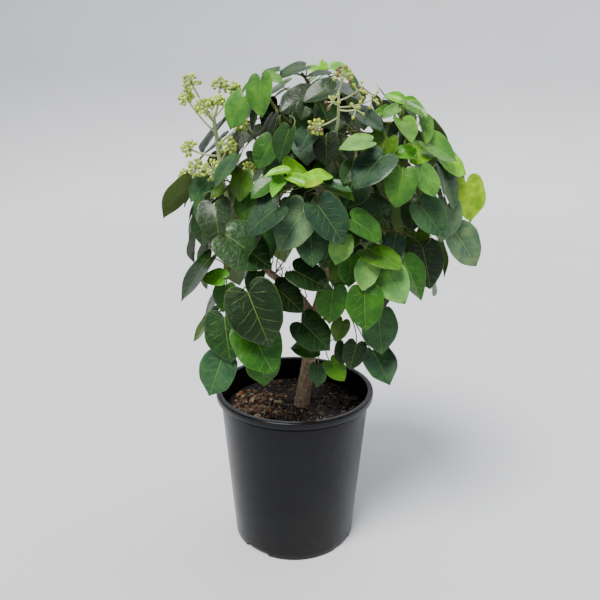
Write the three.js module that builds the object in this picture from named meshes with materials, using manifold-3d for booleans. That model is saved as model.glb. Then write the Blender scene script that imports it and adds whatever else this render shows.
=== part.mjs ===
// Potted tree ivy: the adult, shrubby form of ivy with heart-shaped unlobed leaves and two flower
// heads in bud, grown on a short woody trunk in a black plastic nursery pot.
// Millimetres, +Z up. The origin is the middle of the pot's underside, and -Y is the front.
import * as THREE from 'three';
import { mergeVertices } from 'three/addons/utils/BufferGeometryUtils.js';
import Module from 'manifold-3d';

const wasm = await Module();
wasm.setup();

// ---- Driving dimensions ---------------------------------------------------------------------

const GAP = 0.3; // clearance between pieces that touch
const DEGREE = Math.PI / 180;

const POT = {
  height: 203,
  rimRadius: 100, // outside of the rolled lip
  footRadius: 78.5,
  wall: 2,
  lipWidth: 7, // flat top of the lip
  lipHeight: 8,
  lipRound: 1.6,
  grooveDepth: 0.8, // shallow band just under the lip
  grooveHeight: 5,
  floor: 2,
  dishRadius: 50, // middle of the floor, which stands on the ground
  channelHeight: 6, // raised ring of the floor, between the dish and the skirt
  channelSlope: 3,
  sides: 32,
};
const NOTCH = {
  firstAngle: 53, // degrees from the front toward +X, then one every quarter turn
  count: 4,
  bottomWidth: 38,
  topWidth: 31,
  height: 5.4,
  drainRadius: 5,
  drainCircle: 63,
};
const SOIL = { level: 174, lump: 3.2, rings: 5, sides: 24, gap: 0.9, seed: 11 };

// Woody parts: each path runs from the thick end to the thin end.
const TRUNK = { path: [[7, 9, 152], [9, 8, 175], [18, 8, 238], [25, 5, 295]], radii: [11, 9.4, 8.6, 8] };
const BOUGHS = [
  {
    path: [[25, 5, 293], [33, 5, 330], [39, 5, 364], [34, 6, 410], [28, 10, 480], [20, 12, 545]],
    radii: [7.4, 6.4, 5.6, 4.8, 3.8, 2.6],
  },
  {
    path: [[24, 5, 295], [5, 4, 322], [-15, 0, 340], [-42, -6, 366], [-64, -15, 404], [-76, -19, 440]],
    radii: [5.6, 5, 4.6, 4, 3.4, 2.8],
  },
  {
    path: [[39, 5, 366], [68, -4, 396], [102, -14, 440], [126, -20, 482]],
    radii: [4.6, 4.2, 3.4, 2.6],
  },
  {
    path: [[37, 5, 398], [33, -28, 430], [26, -66, 455]],
    radii: [4, 3.4, 2.6],
  },
  {
    path: [[33, 6, 412], [2, 46, 445], [-28, 74, 486]],
    radii: [4, 3.2, 2.4],
  },
  {
    path: [[38, 6, 384], [74, 44, 424], [104, 66, 474]],
    radii: [4, 3.2, 2.4],
  },
  {
    path: [[29, 10, 472], [38, 48, 512], [36, 62, 545]],
    radii: [3.4, 2.8, 2.2],
  },
];
const WOOD = { sides: 6, step: 40 };

// Leaf sprays. A leaf row holds the place of the blade's base, then how it hangs: the way it faces
// round the plant (0 is the front, 90 is +X), how far its face leans up, how far its tip is turned
// sideways from hanging straight down (toward +X is positive), and the length from base to tip.
const SPRAYS = {
  leaves_top_left: {
    twigs: [[[27, 9, 492], [6, -24, 516], [-18, -46, 540], [-34, -50, 562]]],
    leaves: [
      [-35, -70, 571, -35, 15, 5, 36],
      [-55, -60, 554, -30, 20, -24, 34],
      [-50, -60, 568, -60, 40, -30, 14],
      [-25, -76, 535, -65, 35, 0, 32],
      [-24, -70, 524, -65, 35, 0, 32],
      [-40, -60, 540, -60, 10, -20, 20],
      [-24, -86, 512, -20, 20, -24, 31],
      [-6, -96, 522, -45, 15, -10, 32],
    ],
  },
  leaves_top: {
    twigs: [
      [[21, 12, 538], [18, -10, 562], [20, -34, 568], [22, -58, 562]],
      [[19, -2, 558], [12, -8, 572], [6, -14, 580]],
    ],
    leaves: [
      [14, -85, 521, 0, 55, -20, 27],
      [11, -80, 550, 0, 30, -15, 20],
      [37, -80, 563, -10, 45, -63, 33],
      [12, -68, 558, -20, 50, -60, 38],
      [7, -20, 586, -20, 65, -50, 32],
      [-17, -25, 581, -20, 60, -55, 19],
      [-31, -35, 576, 0, 60, 70, 20],
      [23, 0, 584, 0, 50, -125, 15],
      [31, 0, 585, 0, 10, -170, 12],
      [39, -10, 586, 20, 60, 50, 26],
      [34, -35, 578, 0, 75, -75, 24],
      [58, -35, 576, 50, 30, 0, 20],
    ],
  },
  leaves_upper_right: {
    twigs: [[[125, -19, 478], [120, -30, 505], [112, -42, 528], [110, -48, 550]]],
    leaves: [
      [109, -50, 550, -10, 40, -121, 20],
      [112, -50, 548, 10, 40, 102, 20],
      [104, -64, 543, 0, 50, -51, 20],
      [95, -60, 543, -10, 50, -53, 18],
      [113, -60, 545, 10, 60, 49, 26],
      [107, -80, 532, 10, 60, 4, 32],
      [129, -55, 533, 30, 20, -7, 30],
      [108, -60, 525, 0, 25, -24, 28],
      [137, -60, 509, 25, 50, 48, 40],
      [116, -95, 498, -10, 60, -95, 29],
      [121, -80, 496, 15, 60, 125, 34],
      [156, -45, 489, 35, 35, 45, 33],
    ],
  },
  leaves_right: {
    twigs: [
      [[104, -15, 444], [120, -30, 456], [142, -36, 470], [160, -34, 480]],
      [[114, -25, 452], [114, -50, 466], [116, -70, 476]],
    ],
    leaves: [
      [107, -100, 484, 0, 15, -9, 36],
      [128, -86, 485, 15, 40, 15, 32],
      [130, -84, 448, 15, 25, 35, 40],
      [157, -50, 481, 50, 25, 10, 44],
      [191, -25, 465, 20, 15, 8, 44],
      [167, -45, 443, 20, 10, -12, 41],
      [180, -40, 412, 25, 20, 30, 46],
      [125, -60, 444, 0, 20, 2, 28],
    ],
  },
  leaves_right_low: {
    twigs: [
      [[72, -6, 400], [92, -28, 412], [112, -44, 414], [130, -46, 408]],
      [[92, -28, 412], [88, -50, 410], [86, -66, 402]],
    ],
    leaves: [
      [141, -56, 397, 10, 15, 11, 46],
      [134, -45, 413, 0, 15, -3, 34],
      [111, -60, 409, 0, 20, -7, 28],
      [80, -84, 402, 0, 70, 42, 42],
      [98, -90, 380, -35, 20, 40, 40],
      [118, -76, 384, 40, 30, 15, 44],
      [77, -96, 389, 0, 20, -12, 29],
    ],
  },
  leaves_centre_lime: {
    twigs: [[[27, -60, 451], [20, -92, 470], [12, -112, 474]]],
    leaves: [
      [12, -120, 480, -20, 10, -147, 30],
      [15, -125, 480, 10, 55, 108, 31],
      [-7, -120, 485, 0, 60, -81, 23],
      [10, -126, 475, 0, 50, -122, 24],
      [13, -128, 473, 0, 50, 115, 16],
      [-9, -120, 480, -10, 55, -10, 26],
      [-16, -105, 466, -20, 45, -42, 18],
      [22, -56, 502, 0, 52, -4, 42],
      [29, -115, 476, 10, 55, 65, 28],
      [34, -115, 470, 10, 50, 59, 32],
      [17, -105, 466, 0, 50, -5, 26],
      [3, -95, 459, -10, 40, -30, 26],
    ],
  },
  leaves_centre: {
    twigs: [[[32, -32, 432], [34, -60, 438], [34, -86, 440]]],
    leaves: [
      [23, -121, 453, 20, 30, 29, 45],
      [8, -112, 449, -15, 25, -24, 48],
      [18, -98, 437, -40, 20, -5, 37],
      [16, -104, 424, 0, 25, 4, 36],
      [49, -110, 419, 0, 20, -15, 28],
      [58, -116, 437, 15, 55, 41, 36],
      [54, -92, 448, 15, 25, 42, 46],
    ],
  },
  leaves_centre_right: {
    twigs: [
      [[28, 10, 482], [42, -26, 508], [58, -56, 520], [70, -78, 520]],
      [[58, -56, 520], [62, -72, 504], [62, -84, 494]],
    ],
    leaves: [
      [86, -100, 499, -20, 45, -28, 44],
      [91, -100, 524, -30, 30, -40, 38],
      [72, -104, 513, -10, 60, -73, 30],
      [50, -66, 530, -10, 25, -19, 32],
      [45, -78, 532, 0, 50, -49, 14],
      [62, -80, 540, 20, 55, 40, 32],
      [57, -96, 490, 0, 30, -24, 22],
    ],
  },
  leaves_left_mid: {
    twigs: [[[-42, -6, 366], [-42, -34, 400], [-38, -62, 432], [-32, -80, 452]]],
    leaves: [
      [-17, -115, 450, -30, 40, -40, 42],
      [-34, -100, 421, -65, 40, 0, 30],
      [-24, -110, 477, -20, 50, -37, 26],
      [-29, -95, 466, -10, 40, -26, 17],
      [-69, -95, 416, 10, 40, 50, 54],
      [-67, -84, 383, 0, 75, 78, 20],
    ],
  },
  leaves_flower_left: {
    twigs: [[[-66, -16, 408], [-78, -34, 432], [-84, -38, 456], [-76, -44, 474]]],
    leaves: [
      [-119, -20, 462, -125, 38, 25, 50],
      [-98, -45, 466, -30, 20, -29, 31],
      [-105, -50, 450, -50, 15, -4, 25],
      [-87, -60, 443, -10, 35, 15, 42],
      [-100, -44, 430, -30, 10, -7, 36],
      [-54, -65, 478, -20, 20, -6, 30],
      [-51, -65, 455, -10, 20, -2, 30],
      [-66, -60, 489, -60, 36, 0, 38],
      [-78, -45, 456, -20, 50, -36, 19],
    ],
  },
  leaves_left_low: {
    twigs: [[[-44, -7, 370], [-60, -24, 374], [-76, -36, 366], [-84, -38, 348]]],
    deadTwigs: [[[-80, -37, 357], [-98, -42, 353], [-116, -40, 357]]],
    leaves: [
      [-95, -50, 380, -75, 38, 0, 56],
      [-80, -60, 362, -10, 50, -98, 27],
      [-88, -46, 343, -78, 32, 0, 36],
      [-78, -54, 351, -10, 15, -6, 30],
      [-91, -45, 316, -75, 45, 0, 42],
      [-42, -85, 373, -10, 40, -26, 24],
    ],
  },
  leaves_left_front: {
    twigs: [
      [[22, 4, 304], [-8, -30, 322], [-36, -54, 334], [-62, -62, 332]],
      [[-36, -54, 334], [-52, -56, 312], [-58, -62, 296]],
    ],
    leaves: [
      [-48, -110, 360, 0, 20, 22, 60],
      [-81, -75, 317, -25, 10, 17, 50],
      [-81, -85, 275, -10, 15, -18, 45],
      [-48, -95, 314, 5, 30, 27, 54],
      [-36, -80, 285, 0, 15, 3, 42],
    ],
  },
  leaves_centre_low: {
    twigs: [
      [[33, 4, 336], [30, -22, 356], [24, -50, 372], [18, -66, 378]],
      [[30, -22, 356], [34, -36, 330], [34, -40, 306]],
    ],
    leaves: [
      [-20, -80, 357, 20, 40, 40, 39],
      [1, -95, 380, 10, 50, 55, 40],
      [49, -75, 383, 0, 20, -5, 28],
      [41, -85, 357, 0, 15, -5, 37],
      [9, -60, 310, 10, 30, 42, 44],
      [25, -45, 272, 0, 50, -95, 30],
      [54, -60, 312, 0, 20, -18, 24],
    ],
  },
  leaves_right_front: {
    twigs: [
      [[37, 4, 344], [56, -24, 352], [74, -50, 362]],
      [[44, -6, 346], [56, -22, 326], [70, -34, 302]],
    ],
    leaves: [
      [74, -100, 359, 0, 15, 2, 42],
      [93, -75, 360, 20, 15, 0, 30],
      [93, -75, 325, 10, 15, 4, 44],
      [92, -50, 272, 15, 50, 13, 44],
    ],
  },
  leaves_trunk_base: {
    twigs: [[[19, 7, 250], [28, -12, 262], [38, -22, 274]]],
    leaves: [
      [58, -40, 276, 0, 20, -6, 24],
      [43, -45, 256, 10, 25, 33, 28],
      [28, -40, 248, 0, 25, 0, 25],
    ],
  },
};

// Sprays that the crown's far side carries. Their leaves are placed by the shell rule below.
const FAR_SPRAYS = {
  leaves_far_top: [
    [[36, 60, 541], [32, 66, 560], [12, 54, 572]],
    [[32, 66, 560], [58, 46, 570], [76, 22, 566]],
  ],
  leaves_far_left_high: [[[-26, 72, 483], [-56, 66, 512], [-70, 46, 534]]],
  leaves_far_left: [[[-22, 67, 476], [-58, 96, 466], [-88, 74, 446], [-104, 44, 430]]],
  leaves_far_middle: [[[4, 44, 443], [22, 92, 456], [34, 116, 474]]],
  leaves_far_low: [[[0, 48, 447], [-14, 84, 418], [-34, 96, 392]]],
  leaves_far_right_low: [[[76, 45, 426], [100, 78, 402], [126, 66, 380]]],
  leaves_far_right: [[[102, 65, 471], [132, 70, 462], [160, 40, 446]]],
  leaves_far_right_high: [[[104, 66, 474], [112, 58, 506], [98, 26, 534]]],
};

// The crown is an egg-shaped dome. Leaves that the named sprays don't place lie on its shell: the
// zone is how far round to the back they go (-1 is the front, 1 the back), and lowest how far down.
const CROWN = { centre: [30, 6, 436], reach: [158, 132, 142] };
const SHELL = { count: 100, zone: [-0.2, 1], lowest: -0.58, share: 1, shortest: 46, longest: 62, seed: 5 };
const INNER = { count: 32, zone: [-1, -0.1], lowest: -0.5, share: 0.66, shortest: 38, longest: 48, seed: 9 };

const BLADE = {
  thickness: 0.8,
  widthRatio: 0.8, // of a small leaf, growing to a full leaf's
  fullWidthRatio: 1,
  fullLength: 55,
  lobeDepth: 0.31,
  fineLength: 58, // leaves longer than this get the finer outline
  notchHalfWidth: 0.9, // where the stalk joins
};
const PETIOLE = {
  radius: 0.8,
  longSpan: 34, // a stalk longer than this gets one more bend
  longBends: [0, 0.42, 0.8, 1],
  shortBends: [0, 0.75, 1],
  neck: 8, // a leaf grows from the twig's joint nearest to a point this far behind its notch
  leastExit: 0.1, // how nearly straight out of the notch the stalk must leave, 1 being straight
  leastBend: 0.1, // how nearly straight on it must run at each bend, 1 being straight
};
const TWIG = { rootRadius: 2.4, tipRadius: 1.7, sides: 3, step: 26, jointStep: 3.2, bareJoints: 2 };

// Flower heads: the stem's path, then one row for each umbel: its middle, its size and where its
// stalk leaves the stem, as a share of the way up.
const FLOWER_HEADS = {
  flowers_left: {
    stem: [[-76, -19, 438], [-83, -20, 470], [-86, -20, 500], [-90, -20, 533]],
    radii: [2.8, 2.8, 2.6, 2.2],
    umbels: [
      [-111, -30, 575, 10, 0.97],
      [-119, -16, 553, 9, 0.84],
      [-83, -8, 567, 9, 1],
      [-67, -22, 562, 8, 1],
      [-81, -40, 551, 6, 0.99],
      [-95, -4, 549, 6, 0.98],
      [-98, -40, 544, 9, 0.95],
      [-62, -10, 527, 10, 0.72],
      [-73, -38, 504, 10, 0.5],
      [-117, -24, 500, 9, 0.58],
      [-108, -36, 481, 10, 0.42],
      [-89, -46, 479, 11, 0.38],
      [-126, -14, 470, 7, 0.4],
      [-53, -14, 477, 9, 0.46],
    ],
  },
  flowers_right: {
    stem: [[29, 7, 474], [33, -28, 492], [38, -64, 508], [42, -88, 530], [42, -93, 560]],
    radii: [2.6, 2.6, 2.4, 2.2, 1.8],
    umbels: [
      [46, -94, 574, 10, 1],
      [61, -88, 561, 8, 0.93],
      [76, -82, 553, 8, 0.88],
      [21, -99, 527, 9, 0.8],
      [59, -98, 543, 7, 0.86],
      [36, -104, 550, 7, 0.9],
    ],
  },
};
const UMBEL = { hubRadius: 1.2, budRadius: 2, budTip: 1.6, stalkRadius: 1.1, bareFaces: 7 };

// ---- Small tools ------------------------------------------------------------------------------

const vec = ([x, y, z]) => new THREE.Vector3(x, y, z);
const mix = (a, b, t) => a + (b - a) * t;

function makeRandom(seed) {
  let state = seed >>> 0;
  return () => {
    state = (state + 0x6d2b79f5) >>> 0;
    let t = state;
    t = Math.imul(t ^ (t >>> 15), t | 1);
    t ^= t + Math.imul(t ^ (t >>> 7), t | 61);
    return ((t ^ (t >>> 14)) >>> 0) / 4294967296;
  };
}

function solidFrom(points, triangles) {
  const vertProperties = new Float32Array(points.flatMap((p) => [p.x, p.y, p.z]));
  const triVerts = new Uint32Array(triangles.flat());
  return new wasm.Manifold(new wasm.Mesh({ numProp: 3, vertProperties, triVerts }));
}

function solidFromGeometry(geometry, matrix = new THREE.Matrix4()) {
  const bare = geometry.clone().applyMatrix4(matrix);
  bare.deleteAttribute('normal');
  bare.deleteAttribute('uv');
  const merged = mergeVertices(bare, 1e-4);
  const vertProperties = new Float32Array(merged.attributes.position.array);
  const triVerts = new Uint32Array(merged.index.array);
  return new wasm.Manifold(new wasm.Mesh({ numProp: 3, vertProperties, triVerts }));
}

const join = (solids) => solids.reduce((whole, next) => whole.add(next));

function largestBody(solid) {
  return solid.decompose().reduce((best, next) => (next.volume() > best.volume() ? next : best));
}

function makeMesh(name, solid, color, roughness) {
  const { vertProperties, triVerts } = solid.getMesh();
  const geometry = new THREE.BufferGeometry();
  geometry.setAttribute('position', new THREE.BufferAttribute(vertProperties, 3));
  geometry.setIndex(new THREE.BufferAttribute(triVerts, 1));
  const material = new THREE.MeshStandardMaterial({ color, roughness, metalness: 0, flatShading: true });
  const mesh = new THREE.Mesh(geometry, material);
  mesh.name = name;
  return mesh;
}

// A smooth run of points through a hand-placed path, with the radius at each.
function samplePath(path, radii, step) {
  const anchors = path.map(vec);
  const curve = new THREE.CatmullRomCurve3(anchors, false, 'catmullrom', 0.5);
  const points = [];
  const spans = anchors.length - 1;
  for (let i = 0; i < spans; i += 1) {
    const pieces = Math.max(1, Math.round(anchors[i].distanceTo(anchors[i + 1]) / step));
    for (let j = 0; j < pieces; j += 1) {
      const t = j / pieces;
      points.push({ at: curve.getPoint((i + t) / spans), radius: mix(radii[i], radii[i + 1], t) });
    }
  }
  points.push({ at: anchors[spans].clone(), radius: radii[spans] });
  return points;
}

// A closed tube round a run of points, or the same tube with extra room all round and at its ends.
function sweep(ownRun, sides, extra = 0) {
  const run = ownRun.map(({ at, radius }) => ({ at: at.clone(), radius: radius + extra }));
  const overshoot = (end, inner) => end.at.addScaledVector(end.at.clone().sub(inner.at).normalize(), extra);
  overshoot(run[0], run[1]);
  overshoot(run[run.length - 1], run[run.length - 2]);
  const points = [];
  const triangles = [];
  let across = new THREE.Vector3();
  run.forEach(({ at, radius }, i) => {
    const before = run[Math.max(0, i - 1)].at;
    const after = run[Math.min(run.length - 1, i + 1)].at;
    const along = after.clone().sub(before).normalize();
    if (i === 0) across = new THREE.Vector3(0.83, 0.55, 0.1);
    across.addScaledVector(along, -across.dot(along)).normalize();
    const third = along.clone().cross(across);
    for (let k = 0; k < sides; k += 1) {
      const angle = (2 * Math.PI * k) / sides;
      const out = across.clone().multiplyScalar(Math.cos(angle)).addScaledVector(third, Math.sin(angle));
      points.push(at.clone().addScaledVector(out, radius));
    }
  });
  for (let i = 0; i + 1 < run.length; i += 1) {
    for (let k = 0; k < sides; k += 1) {
      const a = i * sides + k;
      const b = i * sides + ((k + 1) % sides);
      triangles.push([a, b, b + sides], [a, b + sides, a + sides]);
    }
  }
  const last = (run.length - 1) * sides;
  for (let k = 1; k + 1 < sides; k += 1) {
    triangles.push([0, k + 1, k], [last, last + k, last + k + 1]);
  }
  return solidFrom(points, triangles);
}

// ---- Room to hang: blades, stalks and stems as convex pieces kept clear of each other ----------

function makePiece(points, radius, owner, kind) {
  const centre = points.reduce((sum, p) => sum.add(p), new THREE.Vector3()).divideScalar(points.length);
  const reach = Math.max(...points.map((p) => p.distanceTo(centre))) + radius;
  return { points, radius, owner, kind, centre, reach };
}

function stemPieces(run, owner, kind = 'stem') {
  return run.slice(1).map(({ at, radius }, i) => {
    const widest = Math.max(radius, run[i].radius);
    return makePiece([run[i].at, at], widest, owner, kind);
  });
}

function furthest(points, direction, sign) {
  return points.reduce((best, p) => (sign * p.dot(direction) > sign * best.dot(direction) ? p : best));
}

// Whether two convex pieces are further apart than their radii and a margin. The shortest line
// between them is closed in on step by step until one side or the other is certain.
function areApart(a, b, margin) {
  const need = a.radius + b.radius + margin;
  if (a.centre.distanceTo(b.centre) > a.reach + b.reach + margin) return true;
  let line = a.points[0].clone().sub(b.points[0]);
  for (let round = 0; round < 40; round += 1) {
    const length = line.length();
    if (length < need) return false;
    const tip = furthest(a.points, line, -1).clone().sub(furthest(b.points, line, 1));
    if (line.dot(tip) / length > need) return true;
    const edge = tip.clone().sub(line);
    const share = THREE.MathUtils.clamp(-line.dot(edge) / edge.lengthSq(), 0, 1);
    line = line.clone().addScaledVector(edge, share);
  }
  return false;
}

const MARGIN = { sameSpray: 0.2, otherSpray: 0.7 };

function fits(pieces, placed) {
  return pieces.every((piece) =>
    placed.every((other) => {
      const sameSpray = piece.owner === other.owner;
      const atRoot = piece.kind === 'root' && other.kind !== 'blade';
      const onTwig = piece.kind !== 'blade' && (other.kind === 'root' || other.kind === 'stem');
      if (sameSpray && (atRoot || onTwig)) return true;
      return areApart(piece, other, sameSpray ? MARGIN.sameSpray : MARGIN.otherSpray);
    }),
  );
}

// ---- Leaves -------------------------------------------------------------------------------------

// Where the outline is sampled: along the lobe's curve, along the flank's, and on the midrib.
const FINE_OUTLINE = { lobe: [0.3, 0.6, 0.9], flank: [0.3, 0.72], midrib: [0.24, 0.62], turnAt: 3 };
const PLAIN_OUTLINE = { lobe: [0.42, 0.8], flank: [0.25, 0.7], midrib: [0.34, 0.34], turnAt: 9 };
const SHOULDER = 0.26; // where the leaf is widest, on a leaf one unit long
const FLANK_PULL = 0.62;
const TIP_PULL = { across: 0.55, along: 0.9 };
const LOBE_PULL = 0.1;

function bezier(a, b, c, d, t) {
  const s = 1 - t;
  return a * s * s * s + 3 * b * s * s * t + 3 * c * s * t * t + d * t * t * t;
}

// One side of the heart, from the notch round the lobe and down to the tip, one unit long.
function halfOutline(detail, halfWidth) {
  const drop = -BLADE.lobeDepth;
  const lobe = detail.lobe.map((t) => [
    bezier(0, LOBE_PULL, halfWidth, halfWidth, t),
    bezier(0, drop, drop, SHOULDER, t),
  ]);
  const flank = detail.flank.map((t) => [
    bezier(halfWidth, halfWidth, TIP_PULL.across * halfWidth, 0, t),
    bezier(SHOULDER, FLANK_PULL, TIP_PULL.along, 1, t),
  ]);
  return [[0, 0], ...lobe, ...flank, [0, 1]];
}

// The way a leaf's tip points, the way its face looks and the way across it.
function leafAxes(facing, lean, turn) {
  const up = new THREE.Vector3(0, 0, 1);
  const right = new THREE.Vector3(1, 0, 0);
  const tip = new THREE.Vector3(Math.sin(turn * DEGREE), 0, -Math.cos(turn * DEGREE));
  const face = new THREE.Vector3(0, -1, 0);
  [tip, face].forEach((axis) => {
    axis.applyAxisAngle(right, -lean * DEGREE);
    axis.applyAxisAngle(up, facing * DEGREE);
  });
  return { tip, face, across: tip.clone().cross(face) };
}

function makeLeaf(row, spray, random) {
  const [x, y, z, facing, lean, turn, length] = row;
  return {
    spray,
    base: new THREE.Vector3(x, y, z),
    facing,
    lean,
    turn,
    length,
    fold: mix(0.05, 0.3, random()),
    droop: mix(0.04, 0.2, random()),
    twist: mix(-0.12, 0.12, random()),
    seed: Math.floor(random() * 4294967296),
  };
}

// A point of the blade's middle surface: folded up along the midrib, drooping to the tip and a
// little twisted.
function bladePoint(leaf, axes, [x, y]) {
  const lift = leaf.fold * Math.abs(x) - leaf.droop * y * y + leaf.twist * x * y;
  return leaf.base
    .clone()
    .addScaledVector(axes.across, x * leaf.length)
    .addScaledVector(axes.tip, y * leaf.length)
    .addScaledVector(axes.face, lift * leaf.length);
}

function bladeOutline(leaf) {
  const share = Math.min(1, leaf.length / BLADE.fullLength);
  const halfWidth = mix(BLADE.widthRatio, BLADE.fullWidthRatio, share) / 2;
  const detail = leaf.length > BLADE.fineLength ? FINE_OUTLINE : PLAIN_OUTLINE;
  return { detail, side: halfOutline(detail, halfWidth) };
}

// Blade and stalk in one closed skin. The front has two corners at the notch and the back has one,
// and the three-sided stalk grows from that triangle.
function leafSolid(leaf) {
  const { detail, side } = bladeOutline(leaf);
  const axes = leafAxes(leaf.facing, leaf.lean, leaf.turn);
  const mesh = { points: [], triangles: [] };
  const half = BLADE.thickness / 2;
  const add = (flat, lift) => {
    const point = bladePoint(leaf, axes, flat).addScaledVector(axes.face, lift);
    return mesh.points.push(point) - 1;
  };
  const notch = BLADE.notchHalfWidth / leaf.length;
  const tip = side.length - 1;
  const inner = side.slice(1, -1);
  const [frontTip, backTip, backNotch] = [add([0, 1], half), add([0, 1], -half), add([0, 0], -half)];
  const frontRibs = detail.midrib.map((y) => add([0, y], half));
  const backRibs = detail.midrib.map((y) => add([0, y], -half));
  const edges = [1, -1].map((sign) => ({
    sign,
    front: [add([sign * notch, 0], half), ...inner.map(([x, y]) => add([sign * x, y], half)), frontTip],
    back: [backNotch, ...inner.map(([x, y]) => add([sign * x, y], -half)), backTip],
  }));
  const push = (sign, a, b, c) => mesh.triangles.push(sign > 0 ? [a, b, c] : [b, a, c]);
  edges.forEach(({ sign, front, back }) => {
    for (let i = 0; i < tip; i += 1) {
      const rib = i < detail.turnAt ? 0 : 1;
      push(sign, front[i], front[i + 1], frontRibs[rib]);
      push(-sign, back[i], back[i + 1], backRibs[rib]);
      push(sign, front[i + 1], front[i], back[i]);
      push(-sign, front[i + 1], back[i + 1], back[i]);
    }
    if (detail.turnAt < tip) {
      push(sign, front[detail.turnAt], frontRibs[1], frontRibs[0]);
      push(-sign, back[detail.turnAt], backRibs[1], backRibs[0]);
    }
  });
  const [left, right] = edges.map(({ front }) => front[0]);
  mesh.triangles.push([right, left, frontRibs[0]]);
  growTube(mesh, [left, right, backNotch], petioleRun(leaf, axes, leaf.root).reverse());
  return solidFrom(mesh.points, mesh.triangles);
}

// Carries an open ring of corners on along a run of points, and closes it at the far end.
function growTube(mesh, firstRing, run) {
  let ring = firstRing;
  const offsets = ring.map((corner) => mesh.points[corner].clone().sub(run[0].at));
  for (let i = 1; i < run.length; i += 1) {
    const { at, radius } = run[i];
    const along = at.clone().sub(run[i - 1].at).normalize();
    offsets.forEach((offset) => offset.addScaledVector(along, -offset.dot(along)).setLength(radius));
    const next = offsets.map((offset) => mesh.points.push(at.clone().add(offset)) - 1);
    ring.forEach((corner, k) => {
      const after = (k + 1) % ring.length;
      mesh.triangles.push([corner, ring[after], next[after]], [corner, next[after], next[k]]);
    });
    ring = next;
  }
  for (let k = 1; k + 1 < ring.length; k += 1) mesh.triangles.push([ring[0], ring[k], ring[k + 1]]);
}

// The stalk from the twig to the blade's notch, which it meets from behind.
function petioleRun(leaf, axes, root) {
  const end = leaf.base;
  const span = root.distanceTo(end);
  const arrival = axes.tip.clone().multiplyScalar(0.6).addScaledVector(axes.face, 0.5).normalize();
  const outward = end.clone().sub(root).normalize();
  const first = root.clone().addScaledVector(outward, 0.3 * span).add(new THREE.Vector3(0, 0, 0.12 * span));
  const second = end.clone().addScaledVector(arrival, -0.45 * span);
  const curve = new THREE.CubicBezierCurve3(root, first, second, end);
  const bends = span > PETIOLE.longSpan ? PETIOLE.longBends : PETIOLE.shortBends;
  return bends.map((share) => ({ at: curve.getPoint(share), radius: PETIOLE.radius }));
}

// Whether the stalk leaves through the notch, not across the blade, and never doubles back.
function growsFreely(axes, run) {
  const ways = run.slice(1).map(({ at }, i) => at.clone().sub(run[i].at).normalize());
  const bends = ways.slice(1).map((way, i) => way.dot(ways[i]));
  const exit = ways[ways.length - 1].dot(axes.tip);
  return exit > PETIOLE.leastExit && bends.every((bend) => bend > PETIOLE.leastBend);
}

function leafPieces(leaf, axes, run) {
  const { side } = bladeOutline(leaf);
  const halves = [1, -1].map((sign) => side.map(([x, y]) => bladePoint(leaf, axes, [sign * x, y])));
  const blades = halves.map((points) => makePiece(points, BLADE.thickness / 2, leaf.spray, 'blade'));
  const [rootPiece, ...stalk] = stemPieces(run, leaf.spray, 'stalk');
  return [...blades, { ...rootPiece, kind: 'root' }, ...stalk];
}

// A leaf is nudged about its place, a little further each time, until it hangs clear of the rest.
// The further in it hangs, the lower.
const NUDGE = {
  tries: 400,
  shift: 44, // inward, with a little of it outward
  outward: -0.25,
  sink: 0.18,
  sideShift: 9,
  lean: 32,
  facing: 32,
  turn: 22,
};

function settle(leaf, joints, placed) {
  const random = makeRandom(leaf.seed);
  for (let attempt = 0; attempt < NUDGE.tries; attempt += 1) {
    const reach = attempt / NUDGE.tries;
    const swing = (most) => most * reach * (2 * random() - 1);
    const nudged = { ...leaf, base: leaf.base.clone() };
    const sideways = swing(NUDGE.sideShift);
    const inward = NUDGE.shift * reach * mix(NUDGE.outward, 1, random());
    const rise = swing(NUDGE.sideShift) - NUDGE.sink * inward;
    nudged.base.add(new THREE.Vector3(sideways, inward, rise));
    nudged.lean += swing(NUDGE.lean);
    nudged.facing += swing(NUDGE.facing);
    nudged.turn += swing(NUDGE.turn);
    const axes = leafAxes(nudged.facing, nudged.lean, nudged.turn);
    nudged.root = nearest(joints, nudged.base.clone().addScaledVector(axes.tip, -PETIOLE.neck));
    const run = petioleRun(nudged, axes, nudged.root);
    const pieces = leafPieces(nudged, axes, run);
    if (growsFreely(axes, run) && fits(pieces, placed)) return { leaf: nudged, pieces };
  }
  return null;
}

function nearest(points, target) {
  return points.reduce((best, p) => (p.distanceTo(target) < best.distanceTo(target) ? p : best));
}

// ---- The crown ------------------------------------------------------------------------------------

function twigRun(path) {
  const last = path.length - 1;
  const radii = path.map((_, i) => mix(TWIG.rootRadius, TWIG.tipRadius, i / last));
  return samplePath(path, radii, TWIG.step);
}

// Places on a twig for a leaf to grow from: evenly spaced, past the bare foot and short of the tip.
function leafJoints(run) {
  const joints = [];
  for (let i = 1; i < run.length; i += 1) {
    const pieces = Math.max(1, Math.round(run[i - 1].at.distanceTo(run[i].at) / TWIG.jointStep));
    for (let j = 1; j <= pieces; j += 1) joints.push(run[i - 1].at.clone().lerp(run[i].at, j / pieces));
  }
  return joints.slice(TWIG.bareJoints, -1);
}

function makeSprays() {
  const named = Object.entries(SPRAYS).map(([name, spray]) => ({ name, ...spray }));
  const far = Object.entries(FAR_SPRAYS).map(([name, twigs]) => ({ name, twigs, leaves: [] }));
  return [...named, ...far].map(({ name, twigs, deadTwigs = [], leaves: rows }) => {
    const liveRuns = twigs.map(twigRun);
    const joints = liveRuns.flatMap(leafJoints);
    return { name, runs: [...liveRuns, ...deadTwigs.map(twigRun)], joints, rows, leaves: [] };
  });
}

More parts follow.
